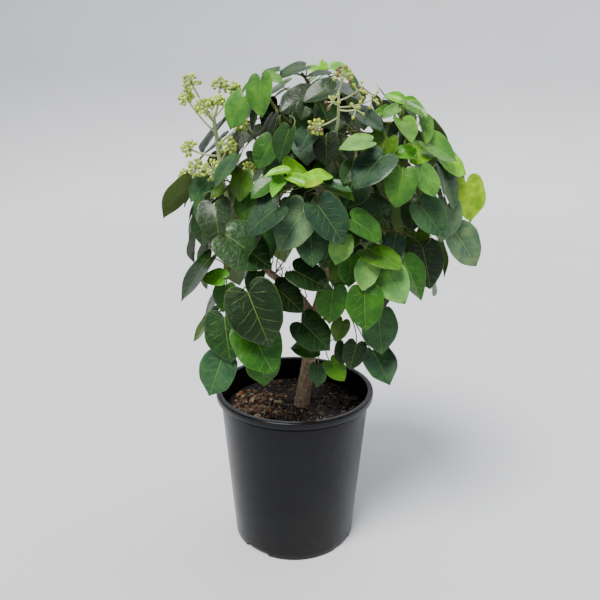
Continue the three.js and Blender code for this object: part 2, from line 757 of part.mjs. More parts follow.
// Rows for leaves spread evenly over a shell of the dome, each facing out with its tip down.
function shellRows({ count, zone, lowest, share, shortest, longest, seed }) {
  const random = makeRandom(seed);
  const goldenTurn = Math.PI * (3 - Math.sqrt(5));
  const rows = [];
  for (let i = 0; i < count; i += 1) {
    const height = 1 - (2 * (i + 0.5)) / count;
    const ring = Math.sqrt(1 - height * height);
    const angle = i * goldenTurn;
    const outward = [ring * Math.sin(angle), -ring * Math.cos(angle), height];
    const depth = share * mix(0.84, 1, random());
    const place = outward.map((part, axis) => CROWN.centre[axis] + part * CROWN.reach[axis] * depth);
    const facing = Math.atan2(outward[0], -outward[1]) / DEGREE + mix(-25, 25, random());
    const lean = mix(12, 30, random()) + 38 * Math.max(0, height);
    const turn = mix(-40, 40, random());
    const length = mix(shortest, longest, random());
    const inZone = outward[1] > zone[0] && outward[1] < zone[1] && height > lowest;
    if (inZone) rows.push([...place, facing, lean, turn, length]);
  }
  return rows;
}

function nearestSpray(sprays, place) {
  const reachOf = (spray) => nearest(spray.joints, place).distanceTo(place);
  const growing = sprays.filter((spray) => spray.joints.length > 0);
  return growing.reduce((best, next) => (reachOf(next) < reachOf(best) ? next : best));
}

// The foremost leaves take their places first, and those behind make room for them.
function growLeaves(sprays, obstacles) {
  const random = makeRandom(3);
  const named = sprays.flatMap((spray) => spray.rows.map((row) => ({ spray, row })));
  named.sort((a, b) => a.row[1] - b.row[1]);
  const filling = [...shellRows(SHELL), ...shellRows(INNER)].map((row) => ({ row }));
  const placed = [...obstacles];
  [...named, ...filling].forEach((wanted) => {
    const { row } = wanted;
    const spray = wanted.spray ?? nearestSpray(sprays, vec(row));
    const leaf = makeLeaf(row, spray.name, random);
    const found = settle(leaf, spray.joints, placed);
    if (!found) return; // no room for it
    placed.push(...found.pieces);
    spray.leaves.push(found.leaf);
    spray.joints.splice(spray.joints.indexOf(found.leaf.root), 1);
  });
}

function spraySolid(spray, woodRoom) {
  const twigs = spray.runs.map((run) => sweep(run, TWIG.sides));
  return largestBody(join([...twigs, ...spray.leaves.map(leafSolid)]).subtract(woodRoom));
}

// ---- Flower heads -----------------------------------------------------------------------------------

function pointAlong(run, share) {
  const place = share * (run.length - 1);
  const i = Math.min(run.length - 2, Math.floor(place));
  return run[i].at.clone().lerp(run[i + 1].at, place - i);
}

// An umbel and its stalk in one closed skin: a small hub whose faces are drawn out, one into the
// umbel's stalk and the others, all but those beside it, into buds.
function umbelSolid(hub, size, stalk) {
  const hubShape = new THREE.IcosahedronGeometry(UMBEL.hubRadius);
  hubShape.deleteAttribute('normal');
  hubShape.deleteAttribute('uv');
  const { attributes, index } = mergeVertices(hubShape, 1e-4);
  const mesh = { points: [], triangles: [] };
  for (let i = 0; i < attributes.position.count; i += 1) {
    mesh.points.push(new THREE.Vector3().fromBufferAttribute(attributes.position, i).add(hub));
  }
  const faces = [];
  for (let i = 0; i < index.count; i += 3) faces.push([index.getX(i), index.getX(i + 1), index.getX(i + 2)]);
  const outwardOf = (face) => {
    const sum = face.reduce((total, corner) => total.add(mesh.points[corner]), new THREE.Vector3());
    return sum.divideScalar(3).sub(hub).normalize();
  };
  const stalkWay = stalk[1].at.clone().sub(hub).normalize();
  const ranked = faces
    .map((face) => ({ face, outward: outwardOf(face) }))
    .sort((a, b) => b.outward.dot(stalkWay) - a.outward.dot(stalkWay));
  growTube(mesh, ranked[0].face, stalk);
  ranked.slice(1).forEach(({ face, outward }, i) => {
    if (i < UMBEL.bareFaces) mesh.triangles.push(face);
    else growBud(mesh, face, hub, outward, size);
  });
  return solidFrom(mesh.points, mesh.triangles);
}

// A bud on its thin stalk: the hub's face drawn out, widening to the bud and closing at its tip.
function growBud(mesh, face, hub, outward, size) {
  const middle = hub.clone().addScaledVector(outward, size - UMBEL.budTip);
  const ring = face.map((corner) => {
    const offset = mesh.points[corner].clone().sub(hub);
    offset.addScaledVector(outward, -offset.dot(outward)).setLength(UMBEL.budRadius);
    return mesh.points.push(middle.clone().add(offset)) - 1;
  });
  const tip = mesh.points.push(hub.clone().addScaledVector(outward, size)) - 1;
  face.forEach((corner, k) => {
    const after = (k + 1) % 3;
    mesh.triangles.push([corner, face[after], ring[after]], [corner, ring[after], ring[k]]);
    mesh.triangles.push([ring[k], ring[after], tip]);
  });
}

// The stalk's run from the umbel's hub down to the stem.
function stalkRun(stemRun, [x, y, z, , share]) {
  const root = pointAlong(stemRun, share);
  const hub = new THREE.Vector3(x, y, z);
  const sag = 0.12 * root.distanceTo(hub);
  const bend = root.clone().lerp(hub, 0.55).add(new THREE.Vector3(0, 0, -sag));
  const curve = new THREE.QuadraticBezierCurve3(hub, bend, root);
  return curve.getPoints(3).map((at) => ({ at, radius: UMBEL.stalkRadius }));
}

function flowerRuns({ stem, radii, umbels }) {
  const stemRun = samplePath(stem, radii, 20);
  return { stemRun, stalks: umbels.map((umbel) => stalkRun(stemRun, umbel)) };
}

function flowerPieces(name, head) {
  const { stemRun, stalks } = flowerRuns(head);
  const balls = head.umbels.map((umbel) => makePiece([vec(umbel)], umbel[3], name, 'blade'));
  return [...balls, ...stemPieces(stemRun, name), ...stalks.flatMap((run) => stemPieces(run, name))];
}

function flowerSolid(head, woodRoom) {
  const { stemRun, stalks } = flowerRuns(head);
  const umbels = head.umbels.map((umbel, i) => umbelSolid(vec(umbel), umbel[3], stalks[i]));
  return largestBody(join([sweep(stemRun, 6), ...umbels]).subtract(woodRoom));
}

// ---- Wood, soil and pot -------------------------------------------------------------------------------

const woodRuns = () => [TRUNK, ...BOUGHS].map(({ path, radii }) => samplePath(path, radii, WOOD.step));
const woodSolid = (extra = 0) => join(woodRuns().map((run) => sweep(run, WOOD.sides, extra)));

const innerRadiusAt = (z) => outerRadiusAt(z) - POT.wall;

function outerRadiusAt(z) {
  const wallTop = POT.rimRadius - POT.lipWidth + POT.wall;
  return mix(POT.footRadius, wallTop, z / POT.height);
}

function potSolid() {
  const { height, rimRadius, footRadius, wall, lipWidth, lipHeight, lipRound } = POT;
  const { grooveDepth, grooveHeight, floor, dishRadius, channelHeight, channelSlope } = POT;
  const lipFoot = height - lipHeight;
  const grooveFoot = lipFoot - grooveHeight;
  const skirtInside = footRadius - wall;
  const profile = [
    [0, 0],
    [dishRadius, 0],
    [dishRadius + channelSlope, channelHeight],
    [skirtInside, channelHeight],
    [skirtInside, 0],
    [footRadius, 0],
    [outerRadiusAt(grooveFoot), grooveFoot],
    [outerRadiusAt(grooveFoot) - grooveDepth, grooveFoot + 1],
    [outerRadiusAt(lipFoot) - grooveDepth, lipFoot],
    [rimRadius, lipFoot],
    [rimRadius, height - lipRound],
    [rimRadius - lipRound, height],
    [rimRadius - lipWidth, height],
    [innerRadiusAt(channelHeight + floor), channelHeight + floor],
    [dishRadius + channelSlope - floor, channelHeight + floor],
    [dishRadius - floor, floor],
    [0, floor],
  ];
  const lathe = new THREE.LatheGeometry(profile.map(([r, z]) => new THREE.Vector2(r, z)), POT.sides);
  return solidFromGeometry(lathe, new THREE.Matrix4().makeRotationX(Math.PI / 2));
}

// A trapezoid bar that cuts one drainage notch through the skirt, and the hole behind it.
function drainCutters(angle) {
  const { bottomWidth, topWidth, height, drainRadius, drainCircle } = NOTCH;
  const below = 2;
  const slope = (bottomWidth - topWidth) / (2 * height);
  const foot = bottomWidth / 2 + slope * below;
  const outline = new THREE.Shape([
    new THREE.Vector2(-foot, -below),
    new THREE.Vector2(foot, -below),
    new THREE.Vector2(topWidth / 2, height),
    new THREE.Vector2(-topWidth / 2, height),
  ]);
  const bar = new THREE.ExtrudeGeometry(outline, { depth: 34, bevelEnabled: false });
  const turn = new THREE.Matrix4().makeRotationZ(angle * DEGREE);
  const upright = new THREE.Matrix4().makeRotationX(Math.PI / 2).setPosition(0, -56, 0);
  const drill = new THREE.CylinderGeometry(drainRadius, drainRadius, 12, 10);
  const standing = new THREE.Matrix4().makeRotationX(Math.PI / 2);
  standing.setPosition(0, -drainCircle, POT.channelHeight);
  return [
    solidFromGeometry(bar, turn.clone().multiply(upright)),
    solidFromGeometry(drill, turn.clone().multiply(standing)),
  ];
}

function drainedPot() {
  let pot = potSolid();
  for (let i = 0; i < NOTCH.count; i += 1) {
    const angle = NOTCH.firstAngle + (360 * i) / NOTCH.count;
    drainCutters(angle).forEach((cutter) => {
      pot = pot.subtract(cutter);
    });
  }
  return pot;
}

// Potting mix filling the pot, with a lumpy top.
function soilSolid(woodRoom) {
  const random = makeRandom(SOIL.seed);
  const { dishRadius, channelSlope, channelHeight, floor } = POT;
  const shelf = channelHeight + floor + GAP;
  const topEdge = innerRadiusAt(SOIL.level) - SOIL.gap;
  const profile = [
    [0, floor + GAP],
    [dishRadius - floor - 1, floor + GAP],
    [dishRadius + channelSlope - floor - 1, shelf],
    [innerRadiusAt(shelf) - SOIL.gap, shelf],
    [topEdge, SOIL.level],
  ];
  for (let ring = SOIL.rings - 1; ring > 0; ring -= 1) {
    profile.push([(topEdge * ring) / SOIL.rings, SOIL.level]);
  }
  profile.push([0, SOIL.level]);
  const lathe = new THREE.LatheGeometry(profile.map(([r, z]) => new THREE.Vector2(r, z)), SOIL.sides);
  lathe.applyMatrix4(new THREE.Matrix4().makeRotationX(Math.PI / 2));
  lathe.deleteAttribute('normal');
  lathe.deleteAttribute('uv');
  const merged = mergeVertices(lathe, 1e-4);
  const position = merged.attributes.position;
  for (let i = 0; i < position.count; i += 1) {
    const radius = Math.hypot(position.getX(i), position.getY(i));
    const onTop = position.getZ(i) > SOIL.level - 1 && radius < topEdge - 1;
    if (onTop) position.setZ(i, SOIL.level + SOIL.lump * (2 * random() - 1));
  }
  return largestBody(solidFromGeometry(merged).subtract(woodRoom));
}

// ---- The plant in its pot ------------------------------------------------------------------------------

function buildPlant() {
  const group = new THREE.Group();
  const woodRoom = woodSolid(GAP);
  group.add(makeMesh('pot', drainedPot(), 0x2b2d2e, 0.45));
  group.add(makeMesh('soil', soilSolid(woodRoom), 0x33251c, 0.95));
  group.add(makeMesh('wood', woodSolid(), 0x6b5848, 0.9));

  const sprays = makeSprays();
  const obstacles = [
    ...woodRuns().flatMap((run) => stemPieces(run, 'wood')),
    ...sprays.flatMap((spray) => spray.runs.flatMap((run) => stemPieces(run, spray.name))),
    ...Object.entries(FLOWER_HEADS).flatMap(([name, head]) => flowerPieces(name, head)),
  ];
  growLeaves(sprays, obstacles);
  sprays.forEach((spray) => group.add(makeMesh(spray.name, spraySolid(spray, woodRoom), 0x3f6b2f, 0.5)));
  Object.entries(FLOWER_HEADS).forEach(([name, head]) => {
    group.add(makeMesh(name, flowerSolid(head, woodRoom), 0x9aa85a, 0.7));
  });
  return group;
}

export default buildPlant();
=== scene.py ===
"""Potted tree ivy, dressed: smooth veined leaves, flower buds, bark, potting mix and moulded plastic.

The crown's leaves are settled by the same seeded rule and the same named values as the part's own
source, so each fine leaf lies on its solid. Lengths are millimetres until a mesh is made.
"""
import math

import bmesh
import bpy
import numpy as np
from mathutils import Matrix, Vector


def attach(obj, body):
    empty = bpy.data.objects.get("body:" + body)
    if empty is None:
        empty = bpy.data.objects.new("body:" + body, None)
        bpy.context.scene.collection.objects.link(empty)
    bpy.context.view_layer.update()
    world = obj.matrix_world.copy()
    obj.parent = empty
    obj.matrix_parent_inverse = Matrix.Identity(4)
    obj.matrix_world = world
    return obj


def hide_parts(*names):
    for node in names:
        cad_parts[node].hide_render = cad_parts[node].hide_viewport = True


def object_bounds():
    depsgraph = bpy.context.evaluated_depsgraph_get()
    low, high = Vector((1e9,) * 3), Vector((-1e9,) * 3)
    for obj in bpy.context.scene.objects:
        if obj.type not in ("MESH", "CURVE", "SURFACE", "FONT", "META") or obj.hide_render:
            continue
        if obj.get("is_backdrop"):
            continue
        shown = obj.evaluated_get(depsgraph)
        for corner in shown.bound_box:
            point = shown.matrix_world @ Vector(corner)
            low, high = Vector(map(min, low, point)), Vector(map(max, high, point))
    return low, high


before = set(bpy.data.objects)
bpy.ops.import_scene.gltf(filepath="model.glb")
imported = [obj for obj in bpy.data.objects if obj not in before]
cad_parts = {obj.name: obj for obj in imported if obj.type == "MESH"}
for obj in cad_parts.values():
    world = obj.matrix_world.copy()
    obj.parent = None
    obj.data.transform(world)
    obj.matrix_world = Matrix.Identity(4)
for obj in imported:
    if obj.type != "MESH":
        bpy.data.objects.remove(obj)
cad_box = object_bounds()

# ---- The plant's driving dimensions, as in the part's source ----

POT = {
    "height": 203, "rim_radius": 100, "foot_radius": 78.5, "wall": 2, "lip_width": 7,
    "lip_height": 8, "lip_round": 1.6, "groove_depth": 0.8, "groove_height": 5, "floor": 2,
    "dish_radius": 50, "channel_height": 6, "channel_slope": 3,
}
NOTCH = {
    "first_angle": 53, "count": 4, "bottom_width": 38, "top_width": 31, "height": 5.4,
    "drain_radius": 5, "drain_circle": 63,
}
SOIL = {"level": 174, "lump": 3.2, "gap": 0.9}
WOOD_STEP = 40
WOOD_PATHS = [
    ([[7, 9, 152], [9, 8, 175], [18, 8, 238], [25, 5, 295]], [11, 9.4, 8.6, 8]),
    (
        [[25, 5, 293], [33, 5, 330], [39, 5, 364], [34, 6, 410], [28, 10, 480], [20, 12, 545]],
        [7.4, 6.4, 5.6, 4.8, 3.8, 2.6],
    ),
    (
        [[24, 5, 295], [5, 4, 322], [-15, 0, 340], [-42, -6, 366], [-64, -15, 404], [-76, -19, 440]],
        [5.6, 5, 4.6, 4, 3.4, 2.8],
    ),
    ([[39, 5, 366], [68, -4, 396], [102, -14, 440], [126, -20, 482]], [4.6, 4.2, 3.4, 2.6]),
    ([[37, 5, 398], [33, -28, 430], [26, -66, 455]], [4, 3.4, 2.6]),
    ([[33, 6, 412], [2, 46, 445], [-28, 74, 486]], [4, 3.2, 2.4]),
    ([[38, 6, 384], [74, 44, 424], [104, 66, 474]], [4, 3.2, 2.4]),
    ([[29, 10, 472], [38, 48, 512], [36, 62, 545]], [3.4, 2.8, 2.2]),
]

# Leaf sprays, as in the source: twigs, then a row for each leaf with the place of the blade's base,
# facing, lean, turn, length and tone. The far side's sprays get their leaves from the shells.
# The tone words of these rows are partly painted light and shade: leaves in the crown's shade take darker
# words such as "shade", and some leaves take lighter words than their own colour so that they look lit.
SPRAYS = {
    "leaves_top_left": ([
        [[27, 9, 492], [6, -24, 516], [-18, -46, 540], [-34, -50, 562]],
    ], [
        (-35, -70, 571, -35, 15, 5, 36, "fresh"), (-55, -60, 554, -30, 20, -24, 34, "fresh"),
        (-50, -60, 568, -60, 40, -30, 14, "bright"), (-25, -76, 535, -65, 35, 0, 32, "shade"),
        (-24, -70, 524, -65, 35, 0, 32, "dark"), (-40, -60, 540, -60, 10, -20, 20, "dark"),
        (-24, -86, 512, -20, 20, -24, 31, "mid"), (-6, -96, 522, -45, 15, -10, 32, "deep"),
    ]),
    "leaves_top": ([
        [[21, 12, 538], [18, -10, 562], [20, -34, 568], [22, -58, 562]],
        [[19, -2, 558], [12, -8, 572], [6, -14, 580]],
    ], [
        (14, -85, 521, 0, 55, -20, 27, "slate"), (11, -80, 550, 0, 30, -15, 20, "dark"),
        (37, -80, 563, -10, 45, -63, 33, "dark"), (12, -68, 558, -20, 50, -60, 38, "shade"),
        (7, -20, 586, -20, 65, -50, 32, "deep"), (-17, -25, 581, -20, 60, -55, 19, "mid"),
        (-31, -35, 576, 0, 60, 70, 20, "fresh"), (23, 0, 584, 0, 50, -125, 15, "lime"),
        (31, 0, 585, 0, 10, -170, 12, "lime"), (39, -10, 586, 20, 60, 50, 26, "young"),
        (34, -35, 578, 0, 75, -75, 24, "dark"), (58, -35, 576, 50, 30, 0, 20, "mid"),
    ]),
    "leaves_upper_right": ([
        [[125, -19, 478], [120, -30, 505], [112, -42, 528], [110, -48, 550]],
    ], [
        (109, -50, 550, -10, 40, -121, 20, "young"), (112, -50, 548, 10, 40, 102, 20, "young"),
        (104, -64, 543, 0, 50, -51, 20, "pale"), (95, -60, 543, -10, 50, -53, 18, "bright"),
        (113, -60, 545, 10, 60, 49, 26, "fresh"), (107, -80, 532, 10, 60, 4, 32, "bright"),
        (129, -55, 533, 30, 20, -7, 30, "fresh"), (108, -60, 525, 0, 25, -24, 28, "dark"),
        (137, -60, 509, 25, 50, 48, 40, "fresh"), (116, -95, 498, -10, 60, -95, 29, "young"),
        (121, -80, 496, 15, 60, 125, 34, "lime"), (156, -45, 489, 35, 35, 45, 33, "lime"),
    ]),
    "leaves_right": ([
        [[104, -15, 444], [120, -30, 456], [142, -36, 470], [160, -34, 480]],
        [[114, -25, 452], [114, -50, 466], [116, -70, 476]],
    ], [
        (107, -100, 484, 0, 15, -9, 36, "fresh"), (128, -86, 485, 15, 40, 15, 32, "fresh"),
        (130, -84, 448, 15, 25, 35, 40, "grey"), (157, -50, 481, 50, 25, 10, 44, "grey"),
        (191, -25, 465, 20, 15, 8, 44, "yellow"), (167, -45, 443, 20, 10, -12, 41, "silver"),
        (180, -40, 412, 25, 20, 30, 46, "silver"), (125, -60, 444, 0, 20, 2, 28, "dark"),
    ]),
    "leaves_right_low": ([
        [[72, -6, 400], [92, -28, 412], [112, -44, 414], [130, -46, 408]],
        [[92, -28, 412], [88, -50, 410], [86, -66, 402]],
    ], [
        (141, -56, 397, 10, 15, 11, 46, "dark"), (134, -45, 413, 0, 15, -3, 34, "olive"),
        (111, -60, 409, 0, 20, -7, 28, "slate"), (80, -84, 402, 0, 70, 42, 42, "bright"),
        (98, -90, 380, -35, 20, 40, 40, "pale"), (118, -76, 384, 40, 30, 15, 44, "mid"),
        (77, -96, 389, 0, 20, -12, 29, "pale"),
    ]),
    "leaves_centre_lime": ([
        [[27, -60, 451], [20, -92, 470], [12, -112, 474]],
    ], [
        (12, -120, 480, -20, 10, -147, 30, "lime"), (15, -125, 480, 10, 55, 108, 31, "lime"),
        (-7, -120, 485, 0, 60, -81, 23, "lime"), (10, -126, 475, 0, 50, -122, 24, "lime"),
        (13, -128, 473, 0, 50, 115, 16, "yellow"), (-9, -120, 480, -10, 55, -10, 26, "young"),
        (-16, -105, 466, -20, 45, -42, 18, "grey"), (22, -56, 502, 0, 52, -4, 42, "silver"),
        (29, -115, 476, 10, 55, 65, 28, "grey"), (34, -115, 470, 10, 50, 59, 32, "fresh"),
        (17, -105, 466, 0, 50, -5, 26, "dark"), (3, -95, 459, -10, 40, -30, 26, "dark"),
    ]),
    "leaves_centre": ([
        [[32, -32, 432], [34, -60, 438], [34, -86, 440]],
    ], [
        (23, -121, 453, 20, 30, 29, 45, "slate"), (8, -112, 449, -15, 25, -24, 48, "silver"),
        (18, -98, 437, -40, 20, -5, 37, "dark"), (16, -104, 424, 0, 25, 4, 36, "grey"),
        (49, -110, 419, 0, 20, -15, 28, "pale"), (58, -116, 437, 15, 55, 41, 36, "mid"),
        (54, -92, 448, 15, 25, 42, 46, "deep"),
    ]),
    "leaves_centre_right": ([
        [[28, 10, 482], [42, -26, 508], [58, -56, 520], [70, -78, 520]],
        [[58, -56, 520], [62, -72, 504], [62, -84, 494]],
    ], [
        (86, -100, 499, -20, 45, -28, 44, "slate"), (91, -100, 524, -30, 30, -40, 38, "olive"),
        (72, -104, 513, -10, 60, -73, 30, "pale"), (50, -66, 530, -10, 25, -19, 32, "dark"),
        (45, -78, 532, 0, 50, -49, 14, "silver"), (62, -80, 540, 20, 55, 40, 32, "slate"),
        (57, -96, 490, 0, 30, -24, 22, "deep"),
    ]),
    "leaves_left_mid": ([
        [[-42, -6, 366], [-42, -34, 400], [-38, -62, 432], [-32, -80, 452]],
    ], [
        (-17, -115, 450, -30, 40, -40, 42, "slate"), (-34, -100, 421, -65, 40, 0, 30, "deep"),
        (-24, -110, 477, -20, 50, -37, 26, "mid"), (-29, -95, 466, -10, 40, -26, 17, "dark"),
        (-69, -95, 416, 10, 40, 50, 54, "deep"), (-67, -84, 383, 0, 75, 78, 20, "pale"),
    ]),
    "leaves_flower_left": ([
        [[-66, -16, 408], [-78, -34, 432], [-84, -38, 456], [-76, -44, 474]],
    ], [
        (-119, -20, 462, -125, 38, 25, 50, "under"), (-98, -45, 466, -30, 20, -29, 31, "grey"),
        (-105, -50, 450, -50, 15, -4, 25, "grey"), (-87, -60, 443, -10, 35, 15, 42, "dark"),
        (-100, -44, 430, -30, 10, -7, 36, "deep"), (-54, -65, 478, -20, 20, -6, 30, "olive"),
        (-51, -65, 455, -10, 20, -2, 30, "mid"), (-66, -60, 489, -60, 36, 0, 38, "grey"),
        (-78, -45, 456, -20, 50, -36, 19, "olive"),
    ]),
    "leaves_left_low": ([
        [[-44, -7, 370], [-60, -24, 374], [-76, -36, 366], [-84, -38, 348]],
    ], [
        (-95, -50, 380, -75, 38, 0, 56, "dark"), (-80, -60, 362, -10, 50, -98, 27, "young"),
        (-88, -46, 343, -78, 32, 0, 36, "olive"), (-78, -54, 351, -10, 15, -6, 30, "mid"),
        (-91, -45, 316, -75, 45, 0, 42, "olive"), (-42, -85, 373, -10, 40, -26, 24, "deep"),
    ]),
    "leaves_left_front": ([
        [[22, 4, 304], [-8, -30, 322], [-36, -54, 334], [-62, -62, 332]],
        [[-36, -54, 334], [-52, -56, 312], [-58, -62, 296]],
    ], [
        (-48, -110, 360, 0, 20, 22, 60, "dark"), (-81, -75, 317, -25, 10, 17, 50, "deep"),
        (-81, -85, 275, -10, 15, -18, 45, "grey"), (-48, -95, 314, 5, 30, 27, 54, "mid"),
        (-36, -80, 285, 0, 15, 3, 42, "mid"),
    ]),
    "leaves_centre_low": ([
        [[33, 4, 336], [30, -22, 356], [24, -50, 372], [18, -66, 378]],
        [[30, -22, 356], [34, -36, 330], [34, -40, 306]],
    ], [
        (-20, -80, 357, 20, 40, 40, 39, "dark"), (1, -95, 380, 10, 50, 55, 40, "dark"),
        (49, -75, 383, 0, 20, -5, 28, "olive"), (41, -85, 357, 0, 15, -5, 37, "mid"),
        (9, -60, 310, 10, 30, 42, 44, "deep"), (25, -45, 272, 0, 50, -95, 30, "mid"),
        (54, -60, 312, 0, 20, -18, 24, "olive"),
    ]),
    "leaves_right_front": ([
        [[37, 4, 344], [56, -24, 352], [74, -50, 362]], [[44, -6, 346], [56, -22, 326], [70, -34, 302]],
    ], [
        (74, -100, 359, 0, 15, 2, 42, "mid"), (93, -75, 360, 20, 15, 0, 30, "dark"),
        (93, -75, 325, 10, 15, 4, 44, "grey"), (92, -50, 272, 15, 50, 13, 44, "grey"),
    ]),
    "leaves_trunk_base": ([
        [[19, 7, 250], [28, -12, 262], [38, -22, 274]],
    ], [
        (58, -40, 276, 0, 20, -6, 24, "dark"), (43, -45, 256, 10, 25, 33, 28, "bright"),
        (28, -40, 248, 0, 25, 0, 25, "grey"),
    ]),
    "leaves_far_top": ([
        [[36, 60, 541], [32, 66, 560], [12, 54, 572]], [[32, 66, 560], [58, 46, 570], [76, 22, 566]],
    ], []),
    "leaves_far_left_high": ([[[-26, 72, 483], [-56, 66, 512], [-70, 46, 534]]], []),
    "leaves_far_left": ([[[-22, 67, 476], [-58, 96, 466], [-88, 74, 446], [-104, 44, 430]]], []),
    "leaves_far_middle": ([[[4, 44, 443], [22, 92, 456], [34, 116, 474]]], []),
    "leaves_far_low": ([[[0, 48, 447], [-14, 84, 418], [-34, 96, 392]]], []),
    "leaves_far_right_low": ([[[76, 45, 426], [100, 78, 402], [126, 66, 380]]], []),
    "leaves_far_right": ([[[102, 65, 471], [132, 70, 462], [160, 40, 446]]], []),
    "leaves_far_right_high": ([[[104, 66, 474], [112, 58, 506], [98, 26, 534]]], []),
}
DEAD_TWIGS = {
    "leaves_left_low": [[[-80, -37, 357], [-98, -42, 353], [-116, -40, 357]]],
}

CROWN = {"centre": [30, 6, 436], "reach": [158, 132, 142]}
# Shells of leaves: count, zone from front to back, lowest height, share of the crown's reach,
# shortest and longest leaf, seed. The inner leaves have shells of their own.
SHELLS = [(100, (-0.2, 1), -0.58, 1, 46, 62, 5), (32, (-1, -0.1), -0.5, 0.66, 38, 48, 9)]
INNER_SHELLS = [
    (60, (-1, 0.5), -0.5, 0.78, 28, 40, 31), (44, (-1, 1), -0.5, 0.52, 26, 38, 32),
    (110, (-0.5, 1), 0.3, 0.94, 22, 38, 34), (110, (0, 1), -0.6, 0.98, 24, 44, 33),
]
BLADE = {
    "thickness": 0.8, "width_ratio": 0.8, "full_width_ratio": 1, "full_length": 55,
    "lobe_depth": 0.31, "fine_length": 58,
}
PETIOLE = {
    "radius": 0.8, "long_span": 34, "long_bends": (0, 0.42, 0.8, 1), "short_bends": (0, 0.75, 1),
    "neck": 8, "least_exit": 0.1, "least_bend": 0.1,
}
TWIG = {"root_radius": 2.4, "tip_radius": 1.7, "step": 26, "joint_step": 3.2, "bare_joints": 2}
OUTLINES = {
    "fine": {"lobe": (0.3, 0.6, 0.9), "flank": (0.3, 0.72)},
    "plain": {"lobe": (0.42, 0.8), "flank": (0.25, 0.7)},
}
SHOULDER = 0.26
FLANK_PULL = 0.62
TIP_PULL = {"across": 0.55, "along": 0.9}
LOBE_PULL = 0.1
NUDGE = {
    "tries": 400, "shift": 44, "outward": -0.25, "sink": 0.18, "side_shift": 9, "lean": 32,
    "facing": 32, "turn": 22,
}
MARGIN = {"same_spray": 0.2, "other_spray": 0.7}

# Flower heads: stem, radii, then for each umbel its middle, size and share of the way up the stem.
FLOWER_HEADS = {
    "flowers_left": {
        "stem": [[-76, -19, 438], [-83, -20, 470], [-86, -20, 500], [-90, -20, 533]],
        "radii": [2.8, 2.8, 2.6, 2.2],
        "umbels": [
            (-111, -30, 575, 10, 0.97), (-119, -16, 553, 9, 0.84), (-83, -8, 567, 9, 1),
            (-67, -22, 562, 8, 1), (-81, -40, 551, 6, 0.99), (-95, -4, 549, 6, 0.98),
            (-98, -40, 544, 9, 0.95), (-62, -10, 527, 10, 0.72), (-73, -38, 504, 10, 0.5),
            (-117, -24, 500, 9, 0.58), (-108, -36, 481, 10, 0.42), (-89, -46, 479, 11, 0.38),
            (-126, -14, 470, 7, 0.4), (-53, -14, 477, 9, 0.46),
        ],
    },
    "flowers_right": {
        "stem": [[29, 7, 474], [33, -28, 492], [38, -64, 508], [42, -88, 530], [42, -93, 560]],
        "radii": [2.6, 2.6, 2.4, 2.2, 1.8],
        "umbels": [
            (46, -94, 574, 10, 1), (61, -88, 561, 8, 0.93), (76, -82, 553, 8, 0.88),
            (21, -99, 527, 9, 0.8), (59, -98, 543, 7, 0.86), (36, -104, 550, 7, 0.9),
        ],
    },
}
UMBEL_STALK_RADIUS = 1.1

# ---- Small tools ----

MM = 0.001
UP = np.array([0.0, 0.0, 1.0])
GOLDEN_TURN = math.pi * (3 - math.sqrt(5))


def arr(*values):
    return np.array(values, float)


def mix(a, b, t):
    return a + (b - a) * t


def unit(v):
    return v / np.sqrt((v * v).sum(-1, keepdims=True))


def distances(points, place):
    return np.sqrt(((np.asarray(points) - place) ** 2).sum(1))


def circle(sides):
    return 2 * np.pi * np.arange(sides) / sides


def spiral(count):
    """Height, ring radius and turn of directions spread evenly over a ball."""
    for i in range(count):
        height = 1 - 2 * (i + 0.5) / count
        yield height, math.sqrt(1 - height * height), i * GOLDEN_TURN


def make_random(seed):
    """The same seeded draws as in the source."""
    state = seed & 0xFFFFFFFF

    def draw():
        nonlocal state
        state = (state + 0x6D2B79F5) & 0xFFFFFFFF
        t = ((state ^ (state >> 15)) * (state | 1)) & 0xFFFFFFFF
        t ^= (t + ((t ^ (t >> 7)) * (t | 61) & 0xFFFFFFFF)) & 0xFFFFFFFF
        return (t ^ (t >> 14)) / 4294967296

    return draw


def spline_point(anchors, i, t):
    """A point of the smooth curve through the anchors, a share t of the way along span i."""
    last = len(anchors) - 1
    p1, p2 = anchors[i], anchors[i + 1]
    p0 = anchors[i - 1] if i > 0 else p1 - p2 + p1
    p3 = anchors[i + 2] if i + 2 <= last else p2 - p1 + p2
    slope1, slope2 = 0.5 * (p2 - p0), 0.5 * (p3 - p1)
    bend = -3 * p1 + 3 * p2 - 2 * slope1 - slope2
    return p1 + slope1 * t + bend * t**2 + (2 * p1 - 2 * p2 + slope1 + slope2) * t**3


def piece_count(a, b, step):
    return max(1, math.floor(np.linalg.norm(b - a) / step + 0.5))


def sample_path(path, radii, step):
    anchors = [arr(*p) for p in path]
    points, widths = [], []
    for i in range(len(anchors) - 1):
        pieces = piece_count(anchors[i], anchors[i + 1], step)
        for j in range(pieces):
            points.append(spline_point(anchors, i, j / pieces))
            widths.append(mix(radii[i], radii[i + 1], j / pieces))
    return np.array([*points, anchors[-1]]), np.array([*widths, radii[-1]], float)


# ---- Room to hang: blades, stalks and stems as convex pieces kept clear of each other ----

CORNERS = 7  # most points of a piece; a shorter list is filled up with its first point
ROUNDS = 40  # most steps toward the shortest line between two pieces


def make_piece(points, radius, owner, kind):
    points = np.asarray(points, float)
    centre = points.mean(0)
    reach = distances(points, centre).max() + radius
    filled = np.vstack([points, np.repeat(points[:1], CORNERS - len(points), 0)])
    return filled, radius, owner, kind, centre, reach


def stem_pieces(run, owner, kind="stem"):
    points, widths = run
    pairs = range(len(points) - 1)
    return [make_piece(points[i : i + 2], max(widths[i], widths[i + 1]), owner, kind) for i in pairs]


